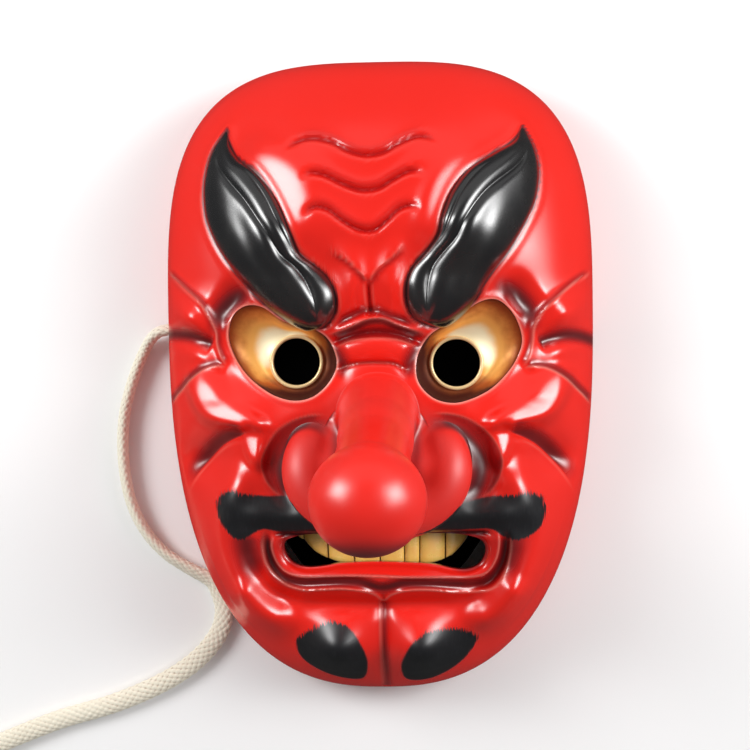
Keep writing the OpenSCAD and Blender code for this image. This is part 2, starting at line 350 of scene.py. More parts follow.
def swell(skin):
    """The face's large swellings and hollows, as in the CAD source, and a fuller forehead."""
    for place, height, spread in (((42, 62), 4, (20, 30)), ((8, 42), 5, (9, 11)), ((36, 8), -9, (24, 15)),
                                  ((76, 26), 4, (9, 8)), ((60, -14), 5, (15, 12)), ((66, -34), -7, (15, 8)),
                                  ((54, -72), 6, (11, 30)), ((20, -94), -4, (26, 5)),
                                  ((17, -114), 6, (12, 12))):
        skin.bumps(place, height, spread)
    skin.bump((0, -84), 5, (38, 5))
    # The forehead falls off beside the brows
    across = 1 - smoothstep(20, 58, np.abs(skin.x))
    skin.z += 10 * across * smoothstep(38, 62, skin.y) * (1 - smoothstep(84, 122, skin.y))


def carve(skin):
    """The folds, wrinkles, lips and grooves."""
    carve_forehead(skin)
    carve_root(skin)
    carve_eyes(skin)
    carve_temples(skin)
    carve_cheeks(skin)
    carve_mouth(skin)


def carve_forehead(skin):
    """Wrinkles, the frown between the brows, and the brows' own lips."""
    # The forehead turns down beside the brows
    skin.press((-38.5, 77), 68.0, (0.40, -0.06), (12, 20), 33, 0.92)
    skin.press((29, 72), 70.6, (-0.46, -0.06), (8, 18), -33, 0.85)
    # Three wrinkles, each a groove between two soft lips, with painted shade in the groove and above it and a
    # painted highlight on the lower lip
    for points in (
        [(-36, 88), (-31, 92.5), (-24, 94), (-16, 92), (-10, 88.5), (-3, 86.5), (4, 87.5), (10, 91),
         (17, 94), (22, 93.5), (27, 91)],
        [(-29, 77), (-25, 79.5), (-19, 78.5), (-12, 75), (-5, 72.5), (2, 73), (8, 76.5), (14, 79.5),
         (18, 79.5), (21, 78)],
        [(-28, 61), (-24, 65.5), (-18, 65), (-12, 60.5), (-6, 57), (0, 56.5), (5, 60), (10, 64.5), (15, 66),
         (20, 64)],
    ):
        skin.crest(points, -1.7, 1.4, 1.4, (0.12, 0.12), 2, (0.42, 0, 1.5))
        skin.crest([(x, y + 2.2) for x, y in points], 0.6, 2.2, 1.2, (0.2, 0.2), 2, (0.22, 0, 2.2))
        skin.crest([(x, y - 1.9) for x, y in points], 0.8, 1.5, 2.6, (0.2, 0.2), 1.6, None, 0.12)
    # Frown: two lobes, a V above them and the crease between, with painted shade beside the V and in the
    # crease and painted highlights along them
    skin.bump((-9.5, 33), 3.4, (6, 10), -20)
    skin.bump((7.5, 33), 3.4, (6, 10), 20)
    skin.crest([(-19, 50), (-11, 45.5), (-5, 40), (-2.6, 36)], 1.4, 4, 1.0, (0.3, 0.1), 1.5,
               (0.35, -1, 3.5), 0.4)
    skin.crest([(14, 52), (7, 46), (0.5, 40.5), (-2.0, 36)], 1.4, 1.0, 4, (0.3, 0.1), 1.5,
               (0.35, 1, 3.5), 0.4)
    skin.crest([(-2.5, 39), (-2.3, 31), (-1.5, 22.5)], -2.2, 1.8, 1.8, (0.25, 0.1), 1.6, (0.34, 0, 2.0))
    skin.crest([(-4.0, 37), (-3.8, 31), (-3.2, 24.5)], 0.6, 0.8, 0.8, (0.2, 0.2), 2, None, 0.4)
    skin.crest([(-0.9, 37), (-0.7, 31), (0.2, 24.5)], 0.6, 0.8, 0.8, (0.2, 0.2), 2, None, 0.3)
    # A raised lip round each brow, with painted shade in the crevice at the brow's foot and a painted
    # highlight along the lip's lower part
    for line in (brow_outline(BROW_LEFT), brow_outline(BROW_RIGHT)):
        d = outline_distance(skin.x, skin.y, line, 12)
        skin.z += 0.5 * np.exp(-(((d - 1.6) / 1.3) ** 2)) * (d < 12)
        skin.darken(0.75 * (1 - smoothstep(0.1, 1.0, d)))
        skin.paint_highlight(0.25 * np.exp(-(((d - 1.2) / 0.5) ** 2)) * (skin.y < 75))


def carve_root(skin):
    """The root of the nose: a ridge, a recess with painted shade, a roll and the crease where the nose
    starts, with painted highlights along their edges.
    """
    skin.crest([(-19, 19), (-10, 23.5), (-2, 26), (6, 23.5), (19, 19)], -2.0, 2.0, 2.0, (0.2, 0.2), 2,
               (0.6, 0, 2.2))
    skin.crest([(-22, 15.5), (-14, 17.8), (-8, 20.2), (-3, 22.2), (3, 22.4), (9, 20), (16, 17.5), (24, 14.5)],
               2.2, 3.2, 1.2, (0.2, 0.2), 1.6, (0.72, -1, 4.4), 0.5)
    skin.crest([(-20, 12), (-10, 15.8), (0, 17.2), (10, 15.8), (20, 12)], -3.2, 2.0, 1.8, (0.15, 0.15), 2,
               (0.62, 0, 2.6))
    skin.crest([(-17, 11), (-10, 13.6), (-3, 14.4), (4, 14.4), (10, 13.6), (18, 10.5)], 1.0, 0.8, 3,
               (0.15, 0.15), 1.6, None, 0.55)
    skin.crest([(-17, 7.5), (-9, 9.6), (0, 10.4), (9, 9.6), (17, 7.5)], 2.6, 4.4, 4.4, (0.2, 0.2), 2.4)
    skin.crest([(-16.5, 1.5), (-12, 3.8), (-6, 4.8), (2, 4.9), (8, 4.2), (13.5, 1.0)], -1.6, 1.1, 1.1,
               (0.1, 0.1), 1.6, (0.45, 0, 1.3), 0.3)


def carve_eyes(skin):
    """A socket with painted shade in it, and a lid round each plate with a painted highlight on its edge."""
    skin.presses((61.5, 31), 51.8, (0.0, 0.32), (10, 6.5), -47, 0.9)
    for line in (EYE_LEFT, EYE_RIGHT):
        d = outline_distance(skin.x, skin.y, line, 12)
        skin.z += 0.8 * np.exp(-(((d - 0.4) / np.where(d > 0.4, 2.0, 1.0)) ** 2)) * (np.abs(d) < 12)
        skin.paint_highlight(1.4 * np.exp(-(((d - 0.2) / 0.5) ** 2)) * (np.abs(d) < 12))
    for points in ([(-46, 36), (-53, 33.5), (-59.5, 30), (-63.5, 25), (-64, 18.5), (-62.8, 12)],
                   [(44, 37), (50, 35), (57, 31), (61.5, 25), (62, 18), (60.5, 11)]):
        # Painted shade in the socket between the brow and the eye
        skin.crest(points, 0, 5.0, 5.0, (0.3, 0.4), 2, (0.78, 0, 5.0))
    # A groove beside the nose, with painted shade in it
    skin.crests([(26, 16), (19, 12), (13.5, 4), (15.5, -4)], -0.8, 3.2, 3.2, (0.3, 0.3), 2, (0.62, 0, 3.6))


def carve_temples(skin):
    """Crow's feet: two lobes with a valley between them, outside a thin crest round the eye's hollow, with
    painted shade beside the crests and in the valley and painted highlights along the crests.
    """
    skin.bumps((77.5, 23.5), 4.2, (9.5, 5.0), 42)
    skin.bumps((74.5, 8.5), 3.4, (9, 4.2), 16)
    # The crest round the left eye is thinner and lower than the one round the right eye
    skin.crest([(-91, 46), (-81, 37.5), (-72.5, 30.5), (-69.3, 26), (-65.7, 19), (-65.2, 13), (-63.8, 8.5),
                (-61.2, 4)], 1.8, 2.2, 1.2, (0.12, 0.08), 1.5, (0.42, 1, 4), 0.8)
    skin.crest([(91, 43), (80, 36), (72.5, 29.5), (67.5, 25), (64, 19), (63.2, 12.5), (61.8, 7), (59, 2.2)],
               2.4, 3.2, 2.2, (0.12, 0.08), 1.5, (0.42, -1, 4), 0.8)
    # The cheek's upper edge, with painted shade on one side and a painted highlight along it
    skin.crest([(-61.2, 4), (-66, 4.2), (-71, 2.8), (-77, -1.4), (-84, -7), (-91, -13)], 1.6, 4, 1.0,
               (0.12, 0.15), 1.5, (0.55, -1, 5), 0.8)
    skin.crest([(59, 2.2), (64, 2.8), (70, 1.6), (77, -2.4), (84, -8), (91, -14)], 1.6, 1.0, 4,
               (0.12, 0.15), 1.5, (0.55, 1, 5), 0.8)
    for valley in ([(-93, 18.5), (-84, 18), (-76, 16.8), (-70.5, 14.8), (-66.8, 12.8)],
                   [(93, 13.5), (84, 15.4), (76, 15.6), (70, 14.2), (65, 12)]):
        skin.crest(valley, -2.4, 3.2, 3.2, (0.05, 0.08), 1.7, (0.72, 0, 3.0))


def carve_cheeks(skin):
    """Cheekbones, the hollows under them, rolls to the jowls, and crescents round the nose wings."""
    # A cheekbone that turns down beside the nose, and the hollow that ends in a sharp corner under it, with
    # painted shade in the hollow and a painted highlight along its upper edge
    skin.bumps((58, -36), 4.5, (8, 10))
    skin.crests([(86, -13), (76, -16), (66, -18), (58, -19), (51, -20.5), (45, -23)], 1.0, 3.2, 12,
                (0.35, 0.25), 2)
    skin.crests([(47.5, -14), (46.6, -20), (46.4, -27), (47.6, -34), (51, -42)], 1.6, 9, 2.5, (0.35, 0.35), 2)
    hollow = [(51.2, -21.5), (55, -23.8), (60, -26), (65, -29), (70, -33.5), (76, -40), (83, -50)]
    skin.crests(hollow, -3.6, 8.5, 1.8, (0.12, 0.45), 1.5, (0.66, 1, 9))
    skin.crests([(x, y - 1.5) for x, y in hollow[1:]], 0.7, 1.4, 1.4, (0.25, 0.4), 2, None, 0.35)
    # Three flats along the cheekbone and down beside the nose
    skin.presses((69.5, -7.5), 55.6, (-0.35, -0.25), (13, 8), 58, 0.92)
    skin.presses((58, -16.2), 60.6, (-0.35, -0.26), (13, 4.6), 14, 0.92)
    skin.presses((50, -28.5), 59.6, (-0.36, -0.26), (3.8, 8), -10, 0.85)
    # The roll from nose to jowl, and the fall from it to the mouth, with painted shade in the fall's upper
    # part
    skin.crests([(50, -34), (57, -44), (64, -55), (66, -67), (62, -80), (54, -91), (42, -99), (30, -101)],
                5.6, 9, 7, (0.25, 0.25), 2)
    fall = [(54, -62), (53.5, -71), (50.5, -80), (45.5, -86.5), (38, -90.5), (28, -92.5)]
    skin.crests(fall, -3.2, 4.4, 4.4, (0.25, 0.3), 2)
    skin.crests(fall[:4], 0, 4, 4, (0.2, 0.5), 2, (0.62, 0, 6.5))
    jowl = [(60, -82), (54, -92), (45, -99.5), (34, -104)]
    for points in (jowl, mirror(jowl)):
        skin.crest(points, 3.4, 6, 8, (0.25, 0.3), 2)
    skin.bumps((18, -113), 5.0, (13, 9))
    # Crescents round the nose wings, dark with painted shade, each with a sharp outer edge and a painted
    # highlight on it
    for side, left, right, points in (
        (-1, 1.6, 4.0, [(-19, -15.5), (-27, -16), (-34, -18.2), (-40, -22), (-44.3, -28), (-46.8, -35),
                        (-45.6, -41.5), (-41.5, -47), (-35.5, -51.5)]),
        (1, 4.0, 1.6, [(21, -15.5), (29, -15.7), (36.5, -17.8), (43, -22), (48, -28), (50.2, -35),
                       (49, -41.5), (45, -47.5), (39, -52)]),
    ):
        skin.crest([(x - side * 6.0, y - 2.0) for x, y in points], -2.4, 5.0, 5.0, (0.4, 0.2), 3)
        skin.crest(points, 0.5, left, right, (0.12, 0.15), 1.5, (0.46, -side, 40), 0.35)
        skin.crest([(x - side * 9.0, y - 3) for x, y in points], 0, 4, 4, (0.4, 0.1), 2, (0.80, 0, 5.0))


def carve_mouth(skin):
    """The upper lip, the frame of the mouth, the channel round it and the chin."""
    skin.crest([(-68, -56), (-48, -56), (-28, -57.5), (0, -58.5), (30, -57), (50, -56), (70, -58)], 2.8, 6, 5,
               (0.15, 0.15), 2)
    # The line under the upper lip, with painted shade in it
    skin.crest([(-43.5, -64.2), (-30, -64.4), (0, -64.2), (30, -64.2), (47, -64)], -1.8, 1.0, 1.0,
               (0.06, 0.06), 2, (0.85, 0, 1.4))
    # The mouth's edge turns in, with painted shade along it that is darkest towards the corners
    d = outline_distance(skin.x, skin.y, MOUTH, 10)
    skin.z -= 1.4 * (1 - smoothstep(0.3, 2.4, d))
    skin.darken(0.16 * (1 - smoothstep(3.0, 5.0, d)))
    corners = smoothstep(24, 36, np.abs(skin.x))
    skin.darken(0.5 * (1 - smoothstep(0, 2.6, d)) * corners)
    # The frame's rim, the channel round it and the chin's edge beyond, with painted shade in the channel and
    # beside the rim and painted highlights along the edges
    skin.crest([(-42.8, -63), (-43.4, -70), (-41.2, -76.2), (-37.2, -80), (-30.8, -81.6), (-22, -81.2),
                (-12, -80.8), (1, -80.9), (14, -81.6), (27, -81.8), (36, -82.2), (43.5, -80.6), (47.5, -75),
                (48.8, -68), (48, -62)], 1.8, 3.0, 1.0, (0.05, 0.05), 1.5, (0.40, 1, 1.4), 0.7)
    skin.crest([(-44.8, -62), (-45.2, -69), (-43.6, -76.5), (-39.8, -82.2), (-33, -84.4), (-20, -83.8),
                (-8, -83.8), (1, -86), (10, -84.4), (22, -84.6), (36, -85.6), (44, -84.2), (49.5, -77.5),
                (51.2, -68), (50.6, -62)], -2.2, 2.2, 2.2, (0.05, 0.05), 3, (0.70, 0, 2.9))
    skin.crest([(-46, -61.5), (-47, -69), (-46, -76), (-42.4, -81.5), (-37.4, -85.6), (-30.8, -87.4),
                (-24, -87), (-15, -86.3), (-7, -87.3), (-1.8, -89.2), (1.6, -92.5), (4.6, -89.8), (9, -87.8),
                (14, -87), (21, -87.2), (30, -88.6), (38, -89.2), (46, -87.4), (51, -81), (53.4, -72),
                (53.4, -62)], 1.8, 1.0, 5, (0.06, 0.06), 1.5, None, 0.7)
    # The chin's crease, with painted shade in it and a painted highlight beside it
    skin.crest([(1.5, -91), (1.6, -100), (1.8, -115), (2, -134)], -2.6, 2.8, 2.8, (0.08, 0.02), 1.6,
               (0.46, 0, 2.4))
    skin.crest([(0.2, -92), (0.2, -100), (0.4, -115), (0.5, -134)], 0.4, 0.8, 0.8, (0.1, 0.05), 2, None, 0.5)


# ---------------------------------------------------------------- materials

class Nodes:
    """Short calls for building a material's nodes."""

    def __init__(self, name):
        self.material = bpy.data.materials.new(name)
        self.material.use_nodes = True
        self.tree = self.material.node_tree
        self.shader = self.tree.nodes["Principled BSDF"]
        self.at = self.new("TexCoord", "Object")

    def put(self, socket, value):
        if isinstance(value, bpy.types.NodeSocket):
            self.tree.links.new(value, socket)
        else:
            socket.default_value = value

    def new(self, kind, out=0, settings=None, **inputs):
        node = self.tree.nodes.new("ShaderNode" + kind)
        for key, value in (settings or {}).items():
            setattr(node, key, value)
        # i0, i1 and so on name a socket by its number, and other names are the socket's own
        for key, value in inputs.items():
            numbered = key[0] == "i" and key[1:].isdigit()
            self.put(node.inputs[int(key[1:]) if numbered else key], value)
        return node.outputs[out]

    def attribute(self, name):
        return self.new("Attribute", "Fac", {"attribute_name": name})

    def math(self, kind, a, b=0.0, c=0.0):
        return self.new("Math", 0, {"operation": kind}, i0=a, i1=b, i2=c)

    def ramp(self, value, low, high, to_low=0.0, to_high=1.0):
        settings = {"interpolation_type": "SMOOTHSTEP"}
        return self.new("MapRange", 0, settings, i0=value, i1=low, i2=high, i3=to_low, i4=to_high)

    def mix(self, share, a, b):
        node = self.tree.nodes.new("ShaderNodeMix")
        node.data_type = "RGBA"
        self.put(node.inputs[0], share)
        self.put(node.inputs[6], a)
        self.put(node.inputs[7], b)
        return node.outputs[2]

    def clouded(self, value, cloudy, depth):
        """The value, made uneven by a noise round its middle."""
        return self.math("ADD", value, self.math("MULTIPLY", self.math("SUBTRACT", cloudy, 0.5), depth))

    def noise(self, scale, detail=3.0, rough=0.5, at=None):
        at = self.at if at is None else at
        return self.new("TexNoise", "Fac", None, Vector=at, Scale=scale, Detail=detail, Roughness=rough)

    def bump(self, height, distance, strength):
        return self.new("Bump", 0, None, Height=height, Distance=distance, Strength=strength)

    def finish(self, **inputs):
        for key, value in inputs.items():
            self.put(self.shader.inputs[key.replace("_", " ")], value)
        return self.material


RED = (0.84, 0.014, 0.006, 1)
RED_BLOOM = (0.84, 0.014, 0.007, 1)
# The pale red of painted highlights
HIGHLIGHT_RED = (0.88, 0.28, 0.22, 1)
DEEP_RED = (0.50, 0.005, 0.004, 1)
MAROON = (0.11, 0.003, 0.005, 1)
NEAR_BLACK = (0.020, 0.002, 0.003, 1)
INK, DRY_INK = (0.010, 0.010, 0.012, 1), (0.030, 0.030, 0.034, 1)
# The near-black inside: painted shade for the openings
DARK_INSIDE = (0.012, 0.010, 0.009, 1)


def red_lacquer():
    """Sprayed red lacquer with painted shade and painted highlights, and brushed black hair."""
    n = Nodes("red_lacquer_look")
    cloudy = n.noise(22.0, 3.0)
    fine = n.noise(420.0, 2.0)
    red = n.mix(n.ramp(cloudy, 0.3, 0.7), RED, RED_BLOOM)
    # Painted shade: deep red, maroon and near black where the shade attribute is high
    shade = n.clouded(n.attribute("shade"), cloudy, 0.12)
    red = n.mix(n.ramp(shade, 0.02, 0.45), red, DEEP_RED)
    red = n.mix(n.ramp(shade, 0.25, 0.8), red, MAROON)
    red = n.mix(n.ramp(shade, 0.7, 1.05), red, NEAR_BLACK)
    # Painted highlight: pale red along sharp edges
    red = n.mix(n.math("MULTIPLY", n.attribute("glint"), 0.6), red, HIGHLIGHT_RED)
    # Brush strokes: noise stretched along the hairs frays the painted edges
    apart = n.new("SeparateXYZ", 0, None, Vector=n.at)
    down = n.new("SeparateXYZ", 1, None, Vector=n.at)
    hair_at = n.new("CombineXYZ", 0, None, X=n.math("MULTIPLY", apart, 2200.0),
                    Y=n.math("MULTIPLY", down, 170.0))
    strokes = n.noise(1.0, 2.0, at=hair_at)
    frayed = n.clouded(n.attribute("ink"), strokes, n.math("MULTIPLY", n.attribute("fray"), 2.6))
    ink = n.ramp(frayed, 0.55, -0.55)
    grey = n.mix(n.math("MULTIPLY", n.ramp(strokes, 0.5, 0.75), 0.5), INK, DRY_INK)
    colour = n.mix(ink, red, grey)
    # The inside is near black, painted shade seen through the openings
    colour = n.mix(n.attribute("behind"), colour, DARK_INSIDE)
    # The lacquer is glossiest where it is plain, and duller where painted shade or ink lies on it
    dull = n.math("MULTIPLY", n.math("MAXIMUM", n.ramp(shade, 0.2, 0.9), ink), 0.12)
    rough = n.math("ADD", n.ramp(cloudy, 0.3, 0.7, 0.23, 0.27), dull)
    rough = n.math("ADD", rough, n.math("MULTIPLY", n.attribute("satin"), 0.24))
    skin = n.bump(fine, 0.00002, 0.35)
    return n.finish(Base_Color=colour, Roughness=rough, Normal=skin, Specular_IOR_Level=0.95)


def black_lacquer():
    """Black lacquer under a clear coat."""
    n = Nodes("black_lacquer_look")
    cloudy = n.noise(60.0, 3.0)
    fine = n.noise(900.0, 2.0)
    colour = n.mix(n.ramp(cloudy, 0.3, 0.7), (0.008, 0.008, 0.009, 1), (0.014, 0.013, 0.013, 1))
    rough = n.ramp(cloudy, 0.3, 0.7, 0.24, 0.28)
    return n.finish(Base_Color=colour, Roughness=rough, Normal=n.bump(fine, 0.00003, 0.4),
                    Specular_IOR_Level=1.0, Coat_Weight=1.0, Coat_Roughness=0.22)


def gilt():
    """Antique gilt: a painted highlight where light gathers, brown where "dark" says so (painted shade, and
    antique brown at the rim), bright on the pupil's ring.
    """
    n = Nodes("gilt_look")
    cloudy = n.noise(130.0, 4.0, 0.6)
    fine = n.noise(1500.0, 2.0)
    dark = n.clouded(n.attribute("dark"), cloudy, 0.35)
    # Painted shade and antique brown where "dark" is high
    gold = n.mix(n.ramp(dark, 0.05, 0.50), (1.0, 0.52, 0.12, 1), (0.44, 0.11, 0.020, 1))
    gold = n.mix(n.ramp(dark, 0.45, 0.92), gold, (0.085, 0.016, 0.010, 1))
    # Painted highlight where "dark" is below zero
    gold = n.mix(n.ramp(dark, -0.05, -0.55), gold, (1.0, 0.90, 0.60, 1))
    gold = n.mix(n.attribute("ring"), gold, (0.98, 0.74, 0.38, 1))
    polish = n.math("MULTIPLY", n.attribute("ring"), 0.15)
    rough = n.math("SUBTRACT", n.ramp(cloudy, 0.3, 0.7, 0.42, 0.50), polish)
    return n.finish(Base_Color=gold, Metallic=0.3, Roughness=rough, Normal=n.bump(fine, 0.00003, 0.5))


def tooth_gilt():
    """Gilt enamel on the teeth, dark along their seams."""
    n = Nodes("tooth_gilt_look")
    cloudy = n.noise(160.0, 4.0, 0.6)
    seam = n.clouded(n.attribute("seam"), cloudy, 0.3)
    gold = n.mix(n.ramp(cloudy, 0.3, 0.7), (1.0, 0.66, 0.17, 1), (1.0, 0.54, 0.11, 1))
    gold = n.mix(n.ramp(seam, 0.35, 0.9), gold, (0.10, 0.035, 0.012, 1))
    rough = n.ramp(cloudy, 0.3, 0.7, 0.24, 0.32)
    return n.finish(Base_Color=gold, Roughness=rough, Specular_IOR_Level=0.9)


def cotton():
    """Braided cotton: cream strands, with painted shade in the gaps between them."""
    n = Nodes("cotton_look")
    cloudy = n.noise(25.0, 3.0)
    fibre = n.noise(2600.0, 3.0, 0.7)
    strand = n.new("TexWhiteNoise", "Value", {"noise_dimensions": "1D"}, W=n.attribute("strand"))
    cream = n.mix(n.ramp(strand, 0.0, 1.0), (0.86, 0.80, 0.64, 1), (0.80, 0.73, 0.57, 1))
    cream = n.mix(n.ramp(fibre, 0.35, 0.7), cream, (0.88, 0.84, 0.72, 1))
    # Painted shade in the gaps between the strands, uneven under a cloudy noise
    gap = n.ramp(n.attribute("gap"), 0.35, 1.0)
    strand_shade = n.math("MULTIPLY", gap, n.ramp(cloudy, 0.35, 0.65, 0.35, 0.95))
    colour = n.mix(strand_shade, cream, (0.36, 0.23, 0.15, 1))
    return n.finish(Base_Color=colour, Roughness=0.85, Normal=n.bump(fibre, 0.00012, 0.6),
                    Sheen_Weight=0.25, Sheen_Roughness=0.5)


RED_LACQUER = red_lacquer()
BLACK_LACQUER = black_lacquer()
GILT = gilt()
TOOTH_GILT = tooth_gilt()
COTTON = cotton()


# ---------------------------------------------------------------- meshes

def make_object(name, verts, faces, material):
    """An object from places in millimetres. Its mesh is in metres, at the origin."""
    mesh = bpy.data.meshes.new(name)
    mesh.from_pydata([tuple(v) for v in np.asarray(verts, float) * MM], [], faces)
    mesh.validate()
    mesh.polygons.foreach_set("use_smooth", [True] * len(mesh.polygons))
    mesh.materials.append(material)
    piece = bpy.data.objects.new(name, mesh)
    bpy.context.scene.collection.objects.link(piece)
    return piece


def grid_faces(rows, columns, wrap=True, start=0, flip=False):
    """Quads between rows of points, each row closed on itself if wrap."""
    faces = []
    for r in range(rows - 1):
        for c in range(columns if wrap else columns - 1):
            n = (c + 1) % columns
            quad = (r * columns + c, r * columns + n, (r + 1) * columns + n, (r + 1) * columns + c)
            faces.append(tuple(start + q for q in (quad[::-1] if flip else quad)))
    return faces


def places(mesh):
    """A mesh's vertices in millimetres."""
    flat = np.empty(len(mesh.vertices) * 3)
    mesh.vertices.foreach_get("co", flat)
    return flat.reshape(-1, 3) / MM


def paint(mesh, name, values):
    layer = mesh.attributes.new(name, "FLOAT", "POINT")
    layer.data.foreach_set("value", np.asarray(values, np.float32))


def turn_outwards(piece, join=False):
    """Turns every face outwards, after joining doubled points if join."""
    shape = bmesh.new()
    shape.from_mesh(piece.data)
    if join:
        bmesh.ops.remove_doubles(shape, verts=shape.verts, dist=1e-6)
    bmesh.ops.recalc_face_normals(shape, faces=shape.faces)
    shape.to_mesh(piece.data)
    shape.free()


def settle(piece, replaces):
    """Rides a finished piece on the one body, in place of its CAD nodes."""
    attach(piece, "root")
    for node in replaces:
        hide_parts(node)


# ---------------------------------------------------------------- cord

CORD_W, CORD_T = 8.8, 5.2
# The route that the cord in the CAD source takes, from inside the shell to the coil
ROUTE = [(-87, 21, 12), (-92.5, 21, 12), (-97, 20.3, 11.3), (-101, 18, 8.5), (-104.5, 14, 5),
         (-108, 7, 3.4), (-112, -4, 3.3), (-115, -16, 3.3), (-116, -30, 3.3), (-115, -44, 3.3),
         (-112, -57, 3.3), (-106, -69, 3.3), (-97, -79, 3.3), (-86, -86, 3.3), (-77, -91, 3.3),
         (-73.5, -97, 3.3), (-71.5, -104, 3.3), (-73, -113, 3.3), (-80, -123, 3.3), (-91, -132, 3.3),
         (-106, -140, 3.3), (-124, -147, 3.3), (-145, -153, 3.3), (-166, -161, 3.3), (-187, -170, 3.3)]
COIL_MID = np.array([-236.0, -134.0])
COIL_OUTER, COIL_STEP, COIL_TURNS = 52.5, 9.2, 1.5
# The cord stands on edge up to this point of its route, then turns flat
FLAT_FROM = 11


def cord_places():
    """The cord's middle line, and how far its flat side is turned up from lying flat there."""
    route = spline(ROUTE, 4)
    start = math.atan2(ROUTE[-1][1] - COIL_MID[1], ROUTE[-1][0] - COIL_MID[0])
    start -= math.acos(COIL_OUTER / math.dist(ROUTE[-1][:2], COIL_MID))
    turns = np.linspace(0, COIL_TURNS, 80)
    reach = COIL_OUTER - COIL_STEP * turns - 5.5 * smoothstep(COIL_TURNS - 0.11, COIL_TURNS, turns)
    angle = start - math.tau * turns
    coil = np.stack([COIL_MID[0] + reach * np.cos(angle), COIL_MID[1] + reach * np.sin(angle), 0 * turns], 1)
    rough = np.vstack([route, coil])
    along = run_length(rough)
    steps = np.arange(0, along[-1], 0.45)
    line = np.stack([np.interp(steps, along, rough[:, k]) for k in range(3)], 1)
    smooth_run(line, 12)
    loop_end = along[4 * FLAT_FROM]
    turned = 1.4 * (1 - smoothstep(loop_end, loop_end + 75, steps))
    half_up = np.hypot(CORD_W / 2 * np.sin(turned), CORD_T / 2 * np.cos(turned))
    line[:, 2] = np.maximum(line[:, 2], half_up + 0.1)
    return line, turned


def braid(name, line, turned, width, thick, material, sides=56, strands=8, pitch=3.7, relief=0.5):
    """A braided tube along a line, whose crossing strands are real relief. It is closed by round ends."""
    heading = np.gradient(line, axis=0)
    heading /= np.linalg.norm(heading, axis=1)[:, None]
    up = np.array([0.0, 0.0, 1.0])
    side = np.cross(up, heading)
    side /= np.maximum(np.linalg.norm(side, axis=1), 1e-6)[:, None]
    over = np.cross(heading, side)
    c, s = np.cos(turned)[:, None], np.sin(turned)[:, None]
    wide, flat = c * side + s * over, c * over - s * side
    # Sides at equal steps round the oval
    dense = np.linspace(0, math.tau, 721)
    oval = np.stack([width / 2 * np.cos(dense), thick / 2 * np.sin(dense)], 1)
    girth = run_length(oval)
    a = np.arange(sides) / sides
    turn = np.interp(a * girth[-1], girth, dense)
    along = run_length(line)
    # Two families of strands wind opposite ways, and take turns to lie on top
    u = strands * a[None, :] + along[:, None] / pitch
    v = strands * a[None, :] - along[:, None] / pitch
    fu, fv = u - np.floor(u), v - np.floor(v)
    over_a = (np.floor(u) + np.floor(v)) % 2 == 0
    across, lengthwise = np.where(over_a, fu, fv), np.where(over_a, fv, fu)
    height = np.sqrt(np.maximum(0, 1 - (2 * across - 1) ** 2)) * (0.45 + 0.55 * np.sin(math.pi * lengthwise))
    ends = np.minimum(1, np.minimum(along, along[-1] - along) / (thick / 2))
    closing = np.sqrt(np.maximum(0, 1 - (1 - ends) ** 2))[:, None]
    lift = (1 - 2 * relief / thick * (1 - height)) * closing
    lift_wide = (1 - 2 * relief / width * (1 - height)) * closing
    verts = (line[:, None] + (width / 2 * np.cos(turn) * lift_wide)[..., None] * wide[:, None]
             + (thick / 2 * np.sin(turn) * lift)[..., None] * flat[:, None])
    piece = make_object(name, verts.reshape(-1, 3), grid_faces(len(line), sides), material)
    paint(piece.data, "gap", (1 - height).ravel())
    paint(piece.data, "strand", np.where(over_a, np.floor(u), 31 + np.floor(v)).ravel())
    return piece


def knot_places(centre, size, tail):
    """An overhand knot's line round a centre, with its tail."""
    t = np.linspace(0.35, math.tau - 0.35, 150)
    loop = np.stack([np.sin(t) + 2 * np.sin(2 * t), np.cos(t) - 2 * np.cos(2 * t), -1.25 * np.sin(3 * t)], 1)
    loop *= size / 3
    tail = np.array(tail, float)
    out = loop[-1] + np.linspace(0.1, 1, 20)[:, None] * tail
    line = np.vstack([loop, out])
    smooth_run(line, 4)
    return line + np.array(centre, float)


def make_cord():
    """The cord with a knot at either end, as one cord that rides on the mask."""
    line, turned = cord_places()
    cord = braid("braided_cord", line, turned, CORD_W, CORD_T, COTTON)
    end = line[-1]
    for name, node, centre, tail in (
        ("stopper_knot", "cord_stopper_knot", (-81, 21, 12.5), (4, -7, -3)),
        ("end_knot", "cord_end_knot", (end[0], end[1], 6.6), (9, 4, -2.5)),
    ):
        knot_line = knot_places(centre, 4.6, tail)
        knot = braid(name, knot_line, np.zeros(len(knot_line)), 4.4, 4.4, COTTON, 32, 6, 3.0, 0.4)
        settle(knot, [node])
    settle(cord, ["cord", "cord_coil"])


# ---------------------------------------------------------------- face shell

SECTORS, RINGS = 640, 114
INNER_SECTORS, INNER_RINGS = 320, 48
OPENING_TUCK = 2.2
# The wall under the deepest carving
LEAST_WALL = 2.6


def from_nose(reach, angle):
    """The x and the y of places at a reach from the nose's middle."""
    return NOSE_MID[0] + reach * np.cos(angle), NOSE_MID[1] + reach * np.sin(angle)


def outline_reach(angle, inset=0.0):
    """How far the outline is from the nose's middle in each direction."""
    low, high = np.zeros(len(angle)), np.full(len(angle), 300.0)
    for _ in range(40):
        middle = (low + high) / 2
        inside = fullness(*from_nose(middle, angle), inset) < 1
        low, high = np.where(inside, middle, low), np.where(inside, high, middle)
    return (low + high) / 2


def opening_reach(angle, gap=0.0):
    """How far the nose's opening reaches. It is OPENING_TUCK tighter than in the CAD, under the nose."""
    half_x, half_y = (half - gap - OPENING_TUCK for half in OPENING_HALF)
    return 1 / np.hypot(np.cos(angle) / half_x, np.sin(angle) / half_y)


